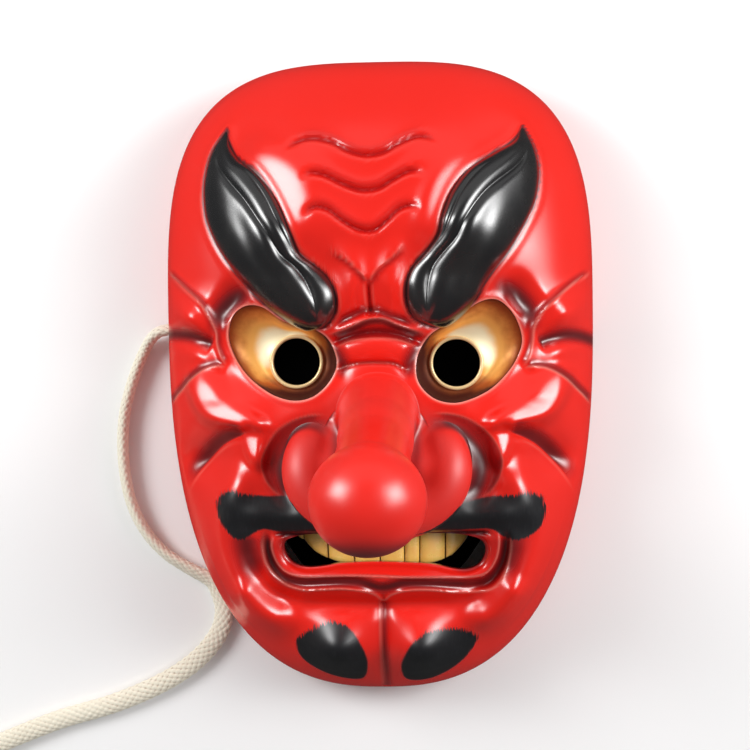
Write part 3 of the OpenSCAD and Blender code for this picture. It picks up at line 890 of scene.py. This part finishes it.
def spread_rings(angle, rings, tries=420):
    """Shares of the way from nose to outline at which the rings lie: closer where the relief bends most."""
    share = np.sin(np.linspace(0, math.pi / 2, tries))
    coarse = angle[::2]
    near, far = opening_reach(coarse), outline_reach(coarse)
    r = near[:, None] + (far - near)[:, None] * share[None, :]
    x, y = from_nose(r, coarse[:, None])
    z = Skin(x, y).z.reshape(x.shape)
    outwards = np.maximum(np.gradient(r, axis=1), 1e-3)
    slope = np.gradient(z, axis=1) / outwards
    bend = np.abs(np.gradient(np.clip(slope, -3, 3), axis=1)) / outwards
    want = 1 + 7 * np.minimum(1, bend * 2.2)
    for _ in range(14):
        want = smooth_round(want)
        smooth_run(want.T, 1)
    step = np.hypot(np.diff(r, axis=1), np.diff(z, axis=1)) * (want[:, 1:] + want[:, :-1]) / 2
    total = np.concatenate([np.zeros((len(coarse), 1)), np.cumsum(step, 1)], 1)
    total /= total[:, -1:]
    even = np.linspace(0, 1, rings)
    found = np.stack([np.interp(even, total[k], share) for k in range(len(coarse))])
    full = np.empty((len(angle), rings))
    full[::2] = found
    full[1::2] = (found + np.roll(found, -1, 0)) / 2
    return full.T


def edge_ring(angle, z, inset):
    """One ring of the upright edge, tucked in towards the rim."""
    x, y = from_nose(outline_reach(angle, inset) - EDGE_TUCK * (1 - z / EDGE_H) ** 2, angle)
    return np.stack([x, y, np.full(len(angle), z)], 1)


def shell_surface(angle, shares, inset, fine):
    """The carved outside of the face, or its plain inside, which stays under the carving."""
    near, far = opening_reach(angle), outline_reach(angle, inset)
    x, y = from_nose(near + (far - near) * shares, angle)
    skin = Skin(x, y, inset, fine)
    z = skin.z
    if not fine:
        z = np.minimum(z, np.maximum(Skin(x, y).z - LEAST_WALL, EDGE_H - inset))
    z = z.reshape(x.shape)
    z[-1] = EDGE_H - inset
    return np.stack([x, y, z], 2)


def prism(name, line, low, high):
    """A closed upright prism on an outline."""
    line = np.asarray(line)
    n = len(line)
    after = np.roll(line, -1, 0)
    if (line[:, 0] * after[:, 1] - after[:, 0] * line[:, 1]).sum() < 0:
        line = line[::-1]
    verts = [(x, y, z) for z in (low, high) for x, y in line]
    faces = grid_faces(2, n) + [tuple(range(n))[::-1], tuple(range(n, 2 * n))]
    return make_object(name, verts, faces, bpy.data.materials["paper"])


def cut(piece, tools):
    """Cuts the tools out of the piece and deletes them."""
    for tool in tools:
        change = piece.modifiers.new("cut", "BOOLEAN")
        change.operation, change.solver, change.object = "DIFFERENCE", "MANIFOLD", tool
    bpy.context.view_layer.update()
    done = bpy.data.meshes.new_from_object(piece.evaluated_get(bpy.context.evaluated_depsgraph_get()))
    piece.modifiers.clear()
    old, piece.data = piece.data, done
    bpy.data.meshes.remove(old)
    for tool in tools:
        bpy.data.objects.remove(tool)


def hole_cut(side):
    """A round bar along x that cuts the cord's hole in one side of the shell."""
    ring = [(HOLE_Y + HOLE_R * math.cos(a), HOLE_Z + HOLE_R * math.sin(a))
            for a in np.linspace(0, math.tau, 40, endpoint=False)]
    hole = prism("hole_cut", ring, 70, 100)
    flat = places(hole.data)
    turned = np.stack([side * flat[:, 2], flat[:, 0], flat[:, 1]], 1) * MM
    hole.data.vertices.foreach_set("co", turned.ravel())
    if side < 0:
        hole.data.flip_normals()
    return hole


def make_face():
    """The shell: a finely carved outside and a coarser inside, with its openings and its paint."""
    angle = np.arange(SECTORS) / SECTORS * math.tau
    inner_angle = np.arange(INNER_SECTORS) / INNER_SECTORS * math.tau
    shares = spread_rings(angle, RINGS)
    outside = shell_surface(angle, shares, 0.0, True)
    edge = [edge_ring(angle, z, 0.0) for z in (11.2, 10, 8.4, 6.4, 4.2, 2.2, 0.8, 0)]
    inner_shares = np.sin(np.linspace(0, math.pi / 2, INNER_RINGS))[:, None] * np.ones(INNER_SECTORS)
    inside = shell_surface(inner_angle, inner_shares, WALL, False)
    inner_edge = [edge_ring(inner_angle, z, WALL) for z in (0, 1.5, 4, 6.4)]
    fine = np.vstack([outside.reshape(-1, 3)] + edge)
    coarse = np.vstack(inner_edge + [inside[::-1].reshape(-1, 3)])
    fine_rows, coarse_rows = RINGS + len(edge), len(inner_edge) + INNER_RINGS
    faces = grid_faces(fine_rows, SECTORS)
    faces += grid_faces(coarse_rows, INNER_SECTORS, start=len(fine))
    step = SECTORS // INNER_SECTORS
    for k in range(INNER_SECTORS):
        n = (k + 1) % INNER_SECTORS
        last, top = (fine_rows - 1) * SECTORS, len(fine) + (coarse_rows - 1) * INNER_SECTORS
        run = [(k * step + j) % SECTORS for j in range(step + 1)]
        faces.append((*(last + j for j in run), len(fine) + n, len(fine) + k))
        faces.append((*run[::-1], top + k, top + n))
    # The outer sheet's rows run outwards, so its faces are turned to look out
    faces = [f[::-1] for f in faces]
    face = make_object("face", np.vstack([fine, coarse]), faces, RED_LACQUER)
    openings = (("eye_cut_left", EYE_LEFT), ("eye_cut_right", EYE_RIGHT), ("mouth_cut", MOUTH))
    tools = [prism(name, outline, 20, 120) for name, outline in openings]
    cut(face, [*tools, hole_cut(-1), hole_cut(1)])
    spots = places(face.data)
    skin = Skin(spots[:, 0], spots[:, 1])
    paint(face.data, "shade", skin.shade)
    paint(face.data, "glint", skin.glint)
    # Everything under the skin, up to the rim, is left without the red lacquer and is near black: painted
    # shade that keeps the openings dark
    behind = (spots[:, 2] < skin.z - 0.6) & (fullness(spots[:, 0], spots[:, 1], 2.4) < 1)
    paint(face.data, "behind", behind)
    paint_ink(face.data, spots)
    face.data.polygons.foreach_set("use_smooth", [True] * len(face.data.polygons))
    face.data.set_sharp_from_angle(angle=math.radians(40))
    settle(face, ["face_shell"])


# ---------------------------------------------------------------- painted hair

MOUSTACHE = spline([(-66, -51), (-63, -47.5), (-58.5, -46), (-55, -47.2), (-50, -47.8), (-44, -48.4),
                    (-37, -48.6), (-31, -51), (-12, -55), (0, -55.5), (14, -55), (29, -53), (37, -51),
                    (46, -49), (54, -48.6), (60, -47.6), (66, -50), (68.2, -56), (65, -63), (58, -67),
                    (51, -66), (46, -62.6), (38, -62.6), (28, -63), (0, -63), (-28, -63), (-37, -63.6),
                    (-42, -62.8), (-46.6, -62), (-51, -64), (-55, -66.4), (-59, -66), (-63, -61.5),
                    (-65.6, -56.5)], 6, True)
TUFT_LEFT = spline([(-21, -101), (-29, -105), (-35, -110), (-34.4, -117), (-28.5, -123), (-18, -128),
                    (-8, -128.5), (-5.5, -119), (-8, -110), (-13, -103)], 6, True)
TUFT_RIGHT = spline([(21, -104.5), (31, -104.5), (40, -108.5), (37.4, -116), (30.5, -123.5), (20, -129.4),
                     (10.5, -129), (8.5, -121), (11.5, -112), (16, -107)], 6, True)
INK_REACH = 9.0


def paint_ink(mesh, spots):
    """Millimetres from the painted hair, less than 0 inside it, and how far its edge frays there."""
    x, y = spots[:, 0], spots[:, 1]
    ink = np.full(len(x), INK_REACH)
    for line in (MOUSTACHE, TUFT_LEFT, TUFT_RIGHT):
        ink = np.minimum(ink, outline_distance(x, y, line, INK_REACH))
    ends = smoothstep(44, 58, np.abs(x)) * smoothstep(-64, -52, y)
    brushed = smoothstep(44, 56, np.abs(x)) * 0.35
    tufts = smoothstep(-117, -106, y) * smoothstep(12, 20, np.abs(x)) * (y < -90)
    # None of it is on the nose
    ink = np.where((spots[:, 2] > 66) & (y > -90), INK_REACH, ink)
    paint(mesh, "ink", ink)
    paint(mesh, "fray", 0.25 + 2.6 * np.maximum(np.maximum(ends, brushed), tufts))


# ---------------------------------------------------------------- nose

BALL = np.array([0.0, -42.0, 142.0])
BALL_R = 19.6
# The middle line of a nose wing, from the shaft round to the septum: x, y, z and radius
ROLL = [(24, -25.5, 53, 8.0), (27.2, -30.5, 58.5, 9.2), (28, -38, 61.5, 10.0), (25.5, -46, 62, 10.0),
        (18.5, -53, 61.5, 9.6), (9, -57, 60, 9.2), (0, -58.2, 59.5, 8.8)]
ROLL_LINE = spline(ROLL, 8)


def blend_min(a, b, soft):
    h = np.clip(0.5 + 0.5 * (b - a) / soft, 0, 1)
    return b + (a - b) * h - soft * h * (1 - h)


def tapered(p, a, b, ra, rb):
    """Distance to a round bar from a to b whose radius goes from ra to rb."""
    a, b = np.asarray(a, float), np.asarray(b, float)
    d = b - a
    t = np.clip(((p - a) @ d) / (d @ d), 0, 1)
    return np.linalg.norm(p - a - t[..., None] * d, axis=-1) - (ra + (rb - ra) * t)


class Ground:
    """The face's height under the nose, looked up in a grid."""

    def __init__(self):
        self.x, self.y = np.arange(-60, 60.1, 0.5), np.arange(-90, 30.1, 0.5)
        grid_x, grid_y = np.meshgrid(self.x, self.y, indexing="ij")
        self.z = Skin(grid_x, grid_y).z.reshape(grid_x.shape)

    def height(self, x, y):
        u = np.clip((x - self.x[0]) / 0.5, 0, len(self.x) - 1.001)
        v = np.clip((y - self.y[0]) / 0.5, 0, len(self.y) - 1.001)
        i, j = u.astype(int), v.astype(int)
        u, v = u - i, v - j
        low = self.z[i, j] * (1 - u) + self.z[i + 1, j] * u
        return low * (1 - v) + (self.z[i, j + 1] * (1 - u) + self.z[i + 1, j + 1] * u) * v


def nose_field(p, ground):
    """Less than 0 inside the nose, which melts into the face."""
    shaft = blend_min(tapered(p, (0.5, -12, 46), (0.5, -25, 84), 17.5, 13.4),
                      tapered(p, (0.5, -25, 84), (0, -38.5, 130), 13.4, 14.6), 5)
    ball = np.linalg.norm((p - BALL) / (20.0, 19.0, 19.8), axis=-1) * BALL_R - BALL_R
    value = blend_min(shaft, ball, 7)
    mirrored = np.concatenate([np.abs(p[..., :1]), p[..., 1:]], axis=-1)
    roll = np.full(p.shape[:-1], 1e3)
    for (ax, ay, az, ar), (bx, by, bz, br) in zip(ROLL_LINE[:-1], ROLL_LINE[1:], strict=True):
        roll = np.minimum(roll, tapered(mirrored, (ax, ay, az), (bx, by, bz), ar, br))
    value = blend_min(value, roll, 3.6)
    # The wings run into the shaft
    value = blend_min(value, tapered(mirrored, (15, -23, 50), (18, -38, 60), 8.0, 9.5), 3)
    under = tapered(p, (0, -34, 58), (0, -52, 56), 14, 12)
    value = blend_min(value, under, 5)
    # The ground that it melts into lies a little under the face, so that the skirt sinks in
    rise = (p[..., 2] - ground.height(p[..., 0], p[..., 1]) + 0.45) * 0.8
    return blend_min(value, rise, 2.6)


def nose_skin(turn, ground):
    """The nose's skin in rows of points round it, from its edge under the face to the tip of the ball."""
    columns = len(turn)
    # Where the rays start on the nose's middle line, and how steeply they rise: (share, y, z, degrees)
    plan = np.array([(0.00, -29, 24, 36), (0.12, -29, 24, 44), (0.24, -29, 24, 54), (0.36, -26, 26, 63),
                     (0.44, -22, 36, 66), (0.52, -20, 52, 60), (0.60, -22, 72, 46), (0.70, -29, 96, 28),
                     (0.78, -37, 120, 12), (0.84, -41, 136, 2), (0.88, -42, 142, 8), (0.94, -42, 142, 44),
                     (1.00, -42, 142, 89.7)])
    share = np.linspace(0, 1, 230)
    y0, z0, rise = (np.interp(share, plan[:, 0], plan[:, k]) for k in (1, 2, 3))
    for values in (y0, z0, rise):
        smooth_run(values, 30)
    up = np.radians(rise)[:, None]
    ray = np.stack([np.cos(up) * np.cos(turn), np.cos(up) * np.sin(turn), np.sin(up) * np.ones(columns)], -1)
    start = np.stack([np.zeros(len(share)), y0, z0], -1)[:, None, :] * np.ones((1, columns, 1))
    # March in from outside until the rays meet the nose, then halve the last step
    far = np.full(ray.shape[:-1], 78.0)
    near = far.copy()
    open_ = np.ones(far.shape, bool)
    while open_.any() and near.max() > 1:
        value = nose_field(start + near[..., None] * ray, ground)
        open_ &= value > 0
        far = np.where(open_, near, far)
        near = np.where(open_, near - 1.0, near)
        if near.min() < 2:
            break
    for _ in range(16):
        middle = (near + far) / 2
        inside = nose_field(start + middle[..., None] * ray, ground) < 0
        near, far = np.where(inside, middle, near), np.where(inside, far, middle)
    skin = start + far[..., None] * ray
    # The skirt is cut where it sinks into the face
    buried = skin[..., 2] - ground.height(skin[..., 0], skin[..., 1]) < -0.34
    first = np.where(buried.any(axis=0), len(share) - 1 - np.argmax(buried[::-1], axis=0), 0).astype(float)
    first = np.min([np.roll(first, k) for k in range(-6, 7)], axis=0)
    for _ in range(6):
        first = smooth_round(first)
    row = first + (len(share) - 1 - first) * np.linspace(0, 1, len(share))[:, None]
    low = np.minimum(row.astype(int), len(share) - 2)
    part = (row - low)[..., None]
    column = np.arange(columns)[None, :]
    return skin[low, column] * (1 - part) + skin[low + 1, column] * part


def make_nose():
    """The hollow nose, whose skirt melts into the face round the opening."""
    ground = Ground()
    columns = 288
    turn = np.arange(columns) / columns * math.tau
    skin = nose_skin(turn, ground)
    # Under the skirt: back over the face to the opening, down the spigot and up the hollow
    rows = []
    rim = skin[0]
    edge = np.stack(from_nose(opening_reach(turn, 0.3), turn), -1)
    for k in range(1, 9):
        flat = rim[:, :2] + (edge - rim[:, :2]) * k / 8
        rows.append(np.column_stack([flat, ground.height(flat[:, 0], flat[:, 1]) - 1.2]))
    foot = rows[-1].copy()
    foot[:, 2] -= WALL + 1
    rows.append(foot)
    for y, z, r in ((-27, 50, 15), (-24, 60, 11.5), (-22, 72, 10), (-27, 92, 9.2), (-38, 128, 9.6),
                    (-42, 136, 13.5), (-42, 143, 15.6), (-42, 150, 13), (-42, 156, 7), (-42, 158, 0.4)):
        rows.append(np.stack([r * np.cos(turn), y + r * np.sin(turn), np.full(columns, z)], -1))
    grid = [*rows[::-1], *skin]
    verts = np.vstack(grid)
    faces = grid_faces(len(grid), columns)
    faces += [tuple(range(columns))[::-1], tuple(range(len(verts) - columns, len(verts)))]
    nose = make_object("nose_cast", verts, faces, RED_LACQUER)
    spots = places(nose.data)
    x, y, z = spots.T
    over = z - ground.height(x, y)
    inside = np.arange(len(spots)) < (len(rows) - 1) * columns
    # Painted shade low on the wings' outer sides, in the folds beside the shaft, under the ball and on its
    # flanks
    low = 1 - smoothstep(-0.4, 6.0, over)
    side = smoothstep(20, 30, np.abs(x)) * smoothstep(-14, -20, y) * (z < 80)
    fold = np.exp(-(((np.abs(x) - 15.5) / 3.2) ** 2)) * smoothstep(-52, -40, y)
    fold *= smoothstep(-14, -22, y) * (1 - smoothstep(66, 78, z))
    beneath = smoothstep(-50, -61, y) * smoothstep(70, 110, z)
    shade = np.maximum(np.maximum(0.85 * low * side, 0.45 * fold), 0.62 * beneath)
    flank = np.exp(-(((np.abs(x) - 19) / 3.5) ** 2)) * smoothstep(-26, -16, y)
    shade = np.maximum(shade, 0.34 * flank * smoothstep(4, -3, y))
    # Where the skirt lies on the face it takes the face's painted shade and painted highlights
    face_paint = Skin(x, y)
    on_face = 1 - smoothstep(0.8, 5.0, over)
    paint(nose.data, "shade", np.maximum(shade, face_paint.shade * on_face))
    paint(nose.data, "glint", face_paint.glint * on_face)
    paint(nose.data, "behind", inside)
    # The shaft and the wings are satin, and the ball is glossier
    satin = (1 - smoothstep(84, 112, z)) * smoothstep(0.2, 2.0, over)
    paint(nose.data, "satin", 0.26 + 0.74 * satin)
    paint_ink(nose.data, spots)
    nose.data.set_sharp_from_angle(angle=math.radians(50))
    settle(nose, ["nose"])


# ---------------------------------------------------------------- brows

# Each brow's outer and inner edge, from the tip to the bulb beside the nose
BROW_LEFT = ([(-61, 102.5), (-67.5, 93), (-70.4, 82), (-70.6, 72), (-68.6, 62), (-62.6, 50), (-53.5, 38),
              (-44, 28), (-35.5, 21.5), (-29, 18.3), (-25, 18)],
             [(-61, 102.5), (-59, 94.5), (-54.5, 88), (-47, 82), (-40.8, 73.5), (-36.4, 65), (-32.5, 56),
              (-29.5, 48.5), (-24, 44), (-18.5, 39), (-15, 32), (-15.5, 25.5), (-19.5, 20), (-25, 18)])
BROW_RIGHT = ([(60.5, 101.5), (65, 92.5), (66.8, 83), (65.5, 72), (62, 63), (54.5, 50), (45, 38), (40, 29),
               (34, 22.5), (28.5, 19), (24, 18.5)],
              [(60.5, 101.5), (56, 94), (48, 88.5), (38, 81), (31, 71.5), (27, 62), (25, 54.5), (20.5, 48.5),
               (15, 42.5), (12, 35.5), (12.2, 28.5), (16, 22), (24, 18.5)])
BROW_H = 9.5
# Lines between the strands: (share of the length, place across from -1 to 1) along each, how deep and how
# wide it is, and whether it is sharp
STRAND_LINES = (
    ([(0.06, -0.5), (0.2, -0.2), (0.35, 0.26), (0.5, 0.44), (0.65, 0.58), (0.8, 0.36), (0.92, 0.25)],
     2.1, 2.0, True),
    ([(0.2, 0.66), (0.35, 0.78), (0.5, 0.80), (0.66, 0.92)], 1.2, 1.3, True),
    ([(0.34, -0.05), (0.5, -0.06), (0.65, -0.16), (0.8, -0.36), (0.93, -0.40)], 0.7, 3.2, False),
)


def brow_outline(brow):
    outer, inner = (spline(side, 8) for side in brow)
    return np.vstack([outer, inner[-2:0:-1]])


def spread(line, shares):
    """Places along a line at shares of its length."""
    along = run_length(line)
    return np.stack([np.interp(shares * along[-1], along, line[:, k]) for k in range(2)], 1)


def make_brow(name, node, brow):
    """A dome over the brow's outline, grooved between its strands, closed by a sheet under the face."""
    stations, columns = 150, 111
    steps = np.linspace(0, 1, stations)
    s = 0.65 * (1 - np.cos(math.pi * steps)) / 2 + 0.35 * steps
    outer, inner = (spread(spline(side, 16), s) for side in brow)
    t = np.sin(np.linspace(-1, 1, columns) * math.pi / 2)
    flat = (outer[:, None] + inner[:, None]) / 2 + t[None, :, None] * (inner - outer)[:, None] / 2
    ground = Skin(flat[..., 0], flat[..., 1], 0.0, False).z.reshape(flat.shape[:2])
    width = np.linalg.norm(inner - outer, axis=1)[:, None]
    high = BROW_H * np.tanh(width / 14) * (1 - 0.18 * smoothstep(0.1, 0.0, s[:, None]))
    dome = np.maximum(0, 1 - np.abs(t[None, :]) ** 2.1) ** 0.55
    lift = high * dome
    for places_along, depth, wide, sharp in STRAND_LINES:
        from_share, to_share = places_along[0][0], places_along[-1][0]
        at = np.interp(s, *zip(*places_along, strict=True))
        smooth_run(at, 24)
        off = np.abs(t[None, :] - at[:, None]) * width / 2
        form = np.exp(-off / wide) if sharp else np.exp(-((off / wide) ** 2))
        ends = smoothstep(from_share, from_share + 0.14, s) * (1 - smoothstep(to_share - 0.16, to_share, s))
        lift -= depth * form * ends[:, None] * np.minimum(1, dome * 1.3)
    top = np.dstack([flat, ground - 0.7 + lift])
    under = np.dstack([flat, ground - 1.6])
    verts = np.vstack([top.reshape(-1, 3), under.reshape(-1, 3)])
    half = stations * columns
    faces = grid_faces(stations, columns, False) + grid_faces(stations, columns, False, half, True)
    for c in range(columns - 1):
        for r, way in ((0, 1), ((stations - 1) * columns, -1)):
            faces.append((r + c, r + c + 1, half + r + c + 1, half + r + c)[::-way])
    for r in range(stations - 1):
        for c, way in ((0, -1), (columns - 1, 1)):
            a, b = r * columns + c, (r + 1) * columns + c
            faces.append((a, b, half + b, half + a)[::-way])
    piece = make_object(name, verts, faces, BLACK_LACQUER)
    turn_outwards(piece, join=True)
    settle(piece, [node])


# ---------------------------------------------------------------- eye plates

# Level of the pupil's ring, and how far the plate's edge is sunk under the face
RING_Z, EYE_SUNK = 48.4, 2.9


def make_eye(name, node, outline, pupil, side):
    """A dished plate under the eye's opening, with a rolled ring round the pupil hole."""
    pupil = np.array(pupil)
    line = spline(outline[::4], 24, True)
    from_pupil = line - pupil
    bearing = np.arctan2(from_pupil[:, 1], from_pupil[:, 0])
    order = np.argsort(bearing)
    columns = 256
    turn = np.linspace(-math.pi, math.pi, columns, endpoint=False)
    reach = np.interp(turn, bearing[order], np.linalg.norm(from_pupil, axis=1)[order], period=math.tau) - 0.12
    way = np.stack([np.cos(turn), np.sin(turn)], 1)
    edge = pupil + way * reach[:, None]
    edge_z = Skin(edge[:, 0], edge[:, 1], 0, False).z - EYE_SUNK
    rows, tone = [], []

    def add(*values):
        """One row of points round the pupil: radius, level, darkness and share of the ring's gold."""
        r, z, dark, gold = (value * np.ones(columns) for value in values)
        rows.append(np.column_stack([pupil + way * r[:, None], z]))
        tone.append(np.stack([dark, gold], 1))

    add(PUPIL_R, RING_Z - 3.0, 1.0, 0)
    for a in np.linspace(0, 180, 12):
        ring_r = PUPIL_R + RING_W / 2 * (1 - math.cos(math.radians(a)))
        add(ring_r, RING_Z + 0.5 + 0.7 * math.sin(math.radians(a)), 0.0, 1.0)
    # Painted shade darkens the dish towards the nose and the cheek, a painted highlight pales it above the
    # outer side of the pupil, and its rim is antique brown
    away = np.clip((way[:, 0] * -side * 0.64 - way[:, 1] * 0.78), -1, 1)
    for share in np.linspace(0, 1, 44):
        r = (PUPIL_R + RING_W) * (1 - share) + reach * share
        dip = 2.6 * (1 - (2 * share - 0.9) ** 2) * (1 - share**6)
        bowl = RING_Z * (1 - share) + edge_z * share - dip
        outer = smoothstep(0.72, 1.0, share)
        dark = 0.10 + 0.85 * smoothstep(-0.45, 0.60, away) * (0.55 + 0.45 * share) + 0.22 * share
        pale = smoothstep(0.15, 0.9, -away) * (1 - smoothstep(0.10, 0.72, share))
        dark += (0.18 + 0.25 * smoothstep(-0.4, 0.4, away)) * outer
        add(r, bowl, np.clip(dark, 0, 1) - 0.8 * pale, 0.0)
    add(reach, edge_z - 2.2, 1.0, 0)
    add(PUPIL_R + RING_W, RING_Z - 4.4, 1.0, 0)
    verts = np.vstack(rows)
    faces = grid_faces(len(rows), columns)
    last = (len(rows) - 1) * columns
    faces += [(last + c, last + (c + 1) % columns, (c + 1) % columns, c) for c in range(columns)]
    piece = make_object(name, verts, faces, GILT)
    tones = np.vstack(tone)
    paint(piece.data, "dark", tones[:, 0])
    paint(piece.data, "ring", tones[:, 1])
    turn_outwards(piece, join=True)
    piece.data.set_sharp_from_angle(angle=math.radians(60))
    settle(piece, [node])


# ---------------------------------------------------------------- teeth

# Where the sides of the teeth are, along the top and along the bottom of the row
UPPER_SEAMS = [-38, -32.4, -21.5, -10.5, 0.5, 10.5, 16.8, 27.5, 38]
LOWER_SEAMS = [-36, -31.4, -21, -10, 0.5, 10.5, 16.5, 27.2, 36.5]
# The line of the teeth's lower ends
FOOT = [(-38, -65.5), (-34, -66.5), (-31.5, -68.2), (-27, -72.2), (-21.5, -75.4), (-16, -76.6), (-10, -77.4),
        (10, -77.6), (20, -77.4), (27, -76.2), (30, -74.4), (33.5, -71.2), (36, -68.6), (38, -67)]
TEETH_TOP = -60.0
# The row is bent round an arc whose middle is furthest forward
ARC_R, ARC_Z = 74.0, 46.5


def make_teeth():
    """Eight swollen teeth side by side on a curved plate, each closed by a back."""
    rows, columns = 40, 36
    v = np.linspace(0, 1, rows)[:, None]
    u = np.linspace(-1, 1, columns)[None, :]
    verts, faces, seam = [], [], []
    sides = list(zip(UPPER_SEAMS, LOWER_SEAMS, strict=True))
    for (left_top, left_foot), (right_top, right_foot) in zip(sides, sides[1:]):
        left = left_top * (1 - v) + left_foot * v
        right = right_top * (1 - v) + right_foot * v
        x = (left + right) / 2 + u * (right - left) / 2
        foot_x = (left_foot + right_foot) / 2 + u * (right_foot - left_foot) / 2
        foot = np.interp(foot_x, *zip(*FOOT, strict=True))
        y = TEETH_TOP + (foot - TEETH_TOP) * v - 0.6 * v * (1 - u**2)
        arc = ARC_Z - ARC_R + np.sqrt(ARC_R**2 - x**2)
        swell_z = 2.0 * (1 - np.abs(u) ** 3) ** 0.5 * (1 - np.abs(2 * v - 1) ** 6) ** 0.5
        start = len(verts)
        verts += [tuple(p) for p in np.dstack([x, y, arc + swell_z]).reshape(-1, 3)]
        verts += [tuple(p) for p in np.dstack([x, y, arc - 4]).reshape(-1, 3)]
        seam += list(np.maximum(np.abs(u) ** 9, np.abs(2 * v - 1) ** 20).ravel()) + [1.0] * (rows * columns)
        back = start + rows * columns
        faces += grid_faces(rows, columns, False, start) + grid_faces(rows, columns, False, back, True)
        rim = list(range(columns)) + [r * columns + columns - 1 for r in range(1, rows)]
        rim += [(rows - 1) * columns + c for c in range(columns - 2, -1, -1)]
        rim += [r * columns for r in range(rows - 2, 0, -1)]
        around = zip(rim, rim[1:] + rim[:1], strict=True)
        faces += [(start + a, start + b, back + b, back + a) for a, b in around]
    piece = make_object("teeth_plate", verts, faces, TOOTH_GILT)
    paint(piece.data, "seam", seam)
    turn_outwards(piece)
    piece.data.set_sharp_from_angle(angle=math.radians(50))
    settle(piece, ["upper_teeth"])


# ---------------------------------------------------------------- the whole mask

make_cord()
make_face()
make_nose()
make_brow("brow_cast_left", "brow_left", BROW_LEFT)
make_brow("brow_cast_right", "brow_right", BROW_RIGHT)
make_eye("eye_dish_left", "eye_left", EYE_LEFT, PUPIL_LEFT, -1)
make_eye("eye_dish_right", "eye_right", EYE_RIGHT, PUPIL_RIGHT, 1)
make_teeth()
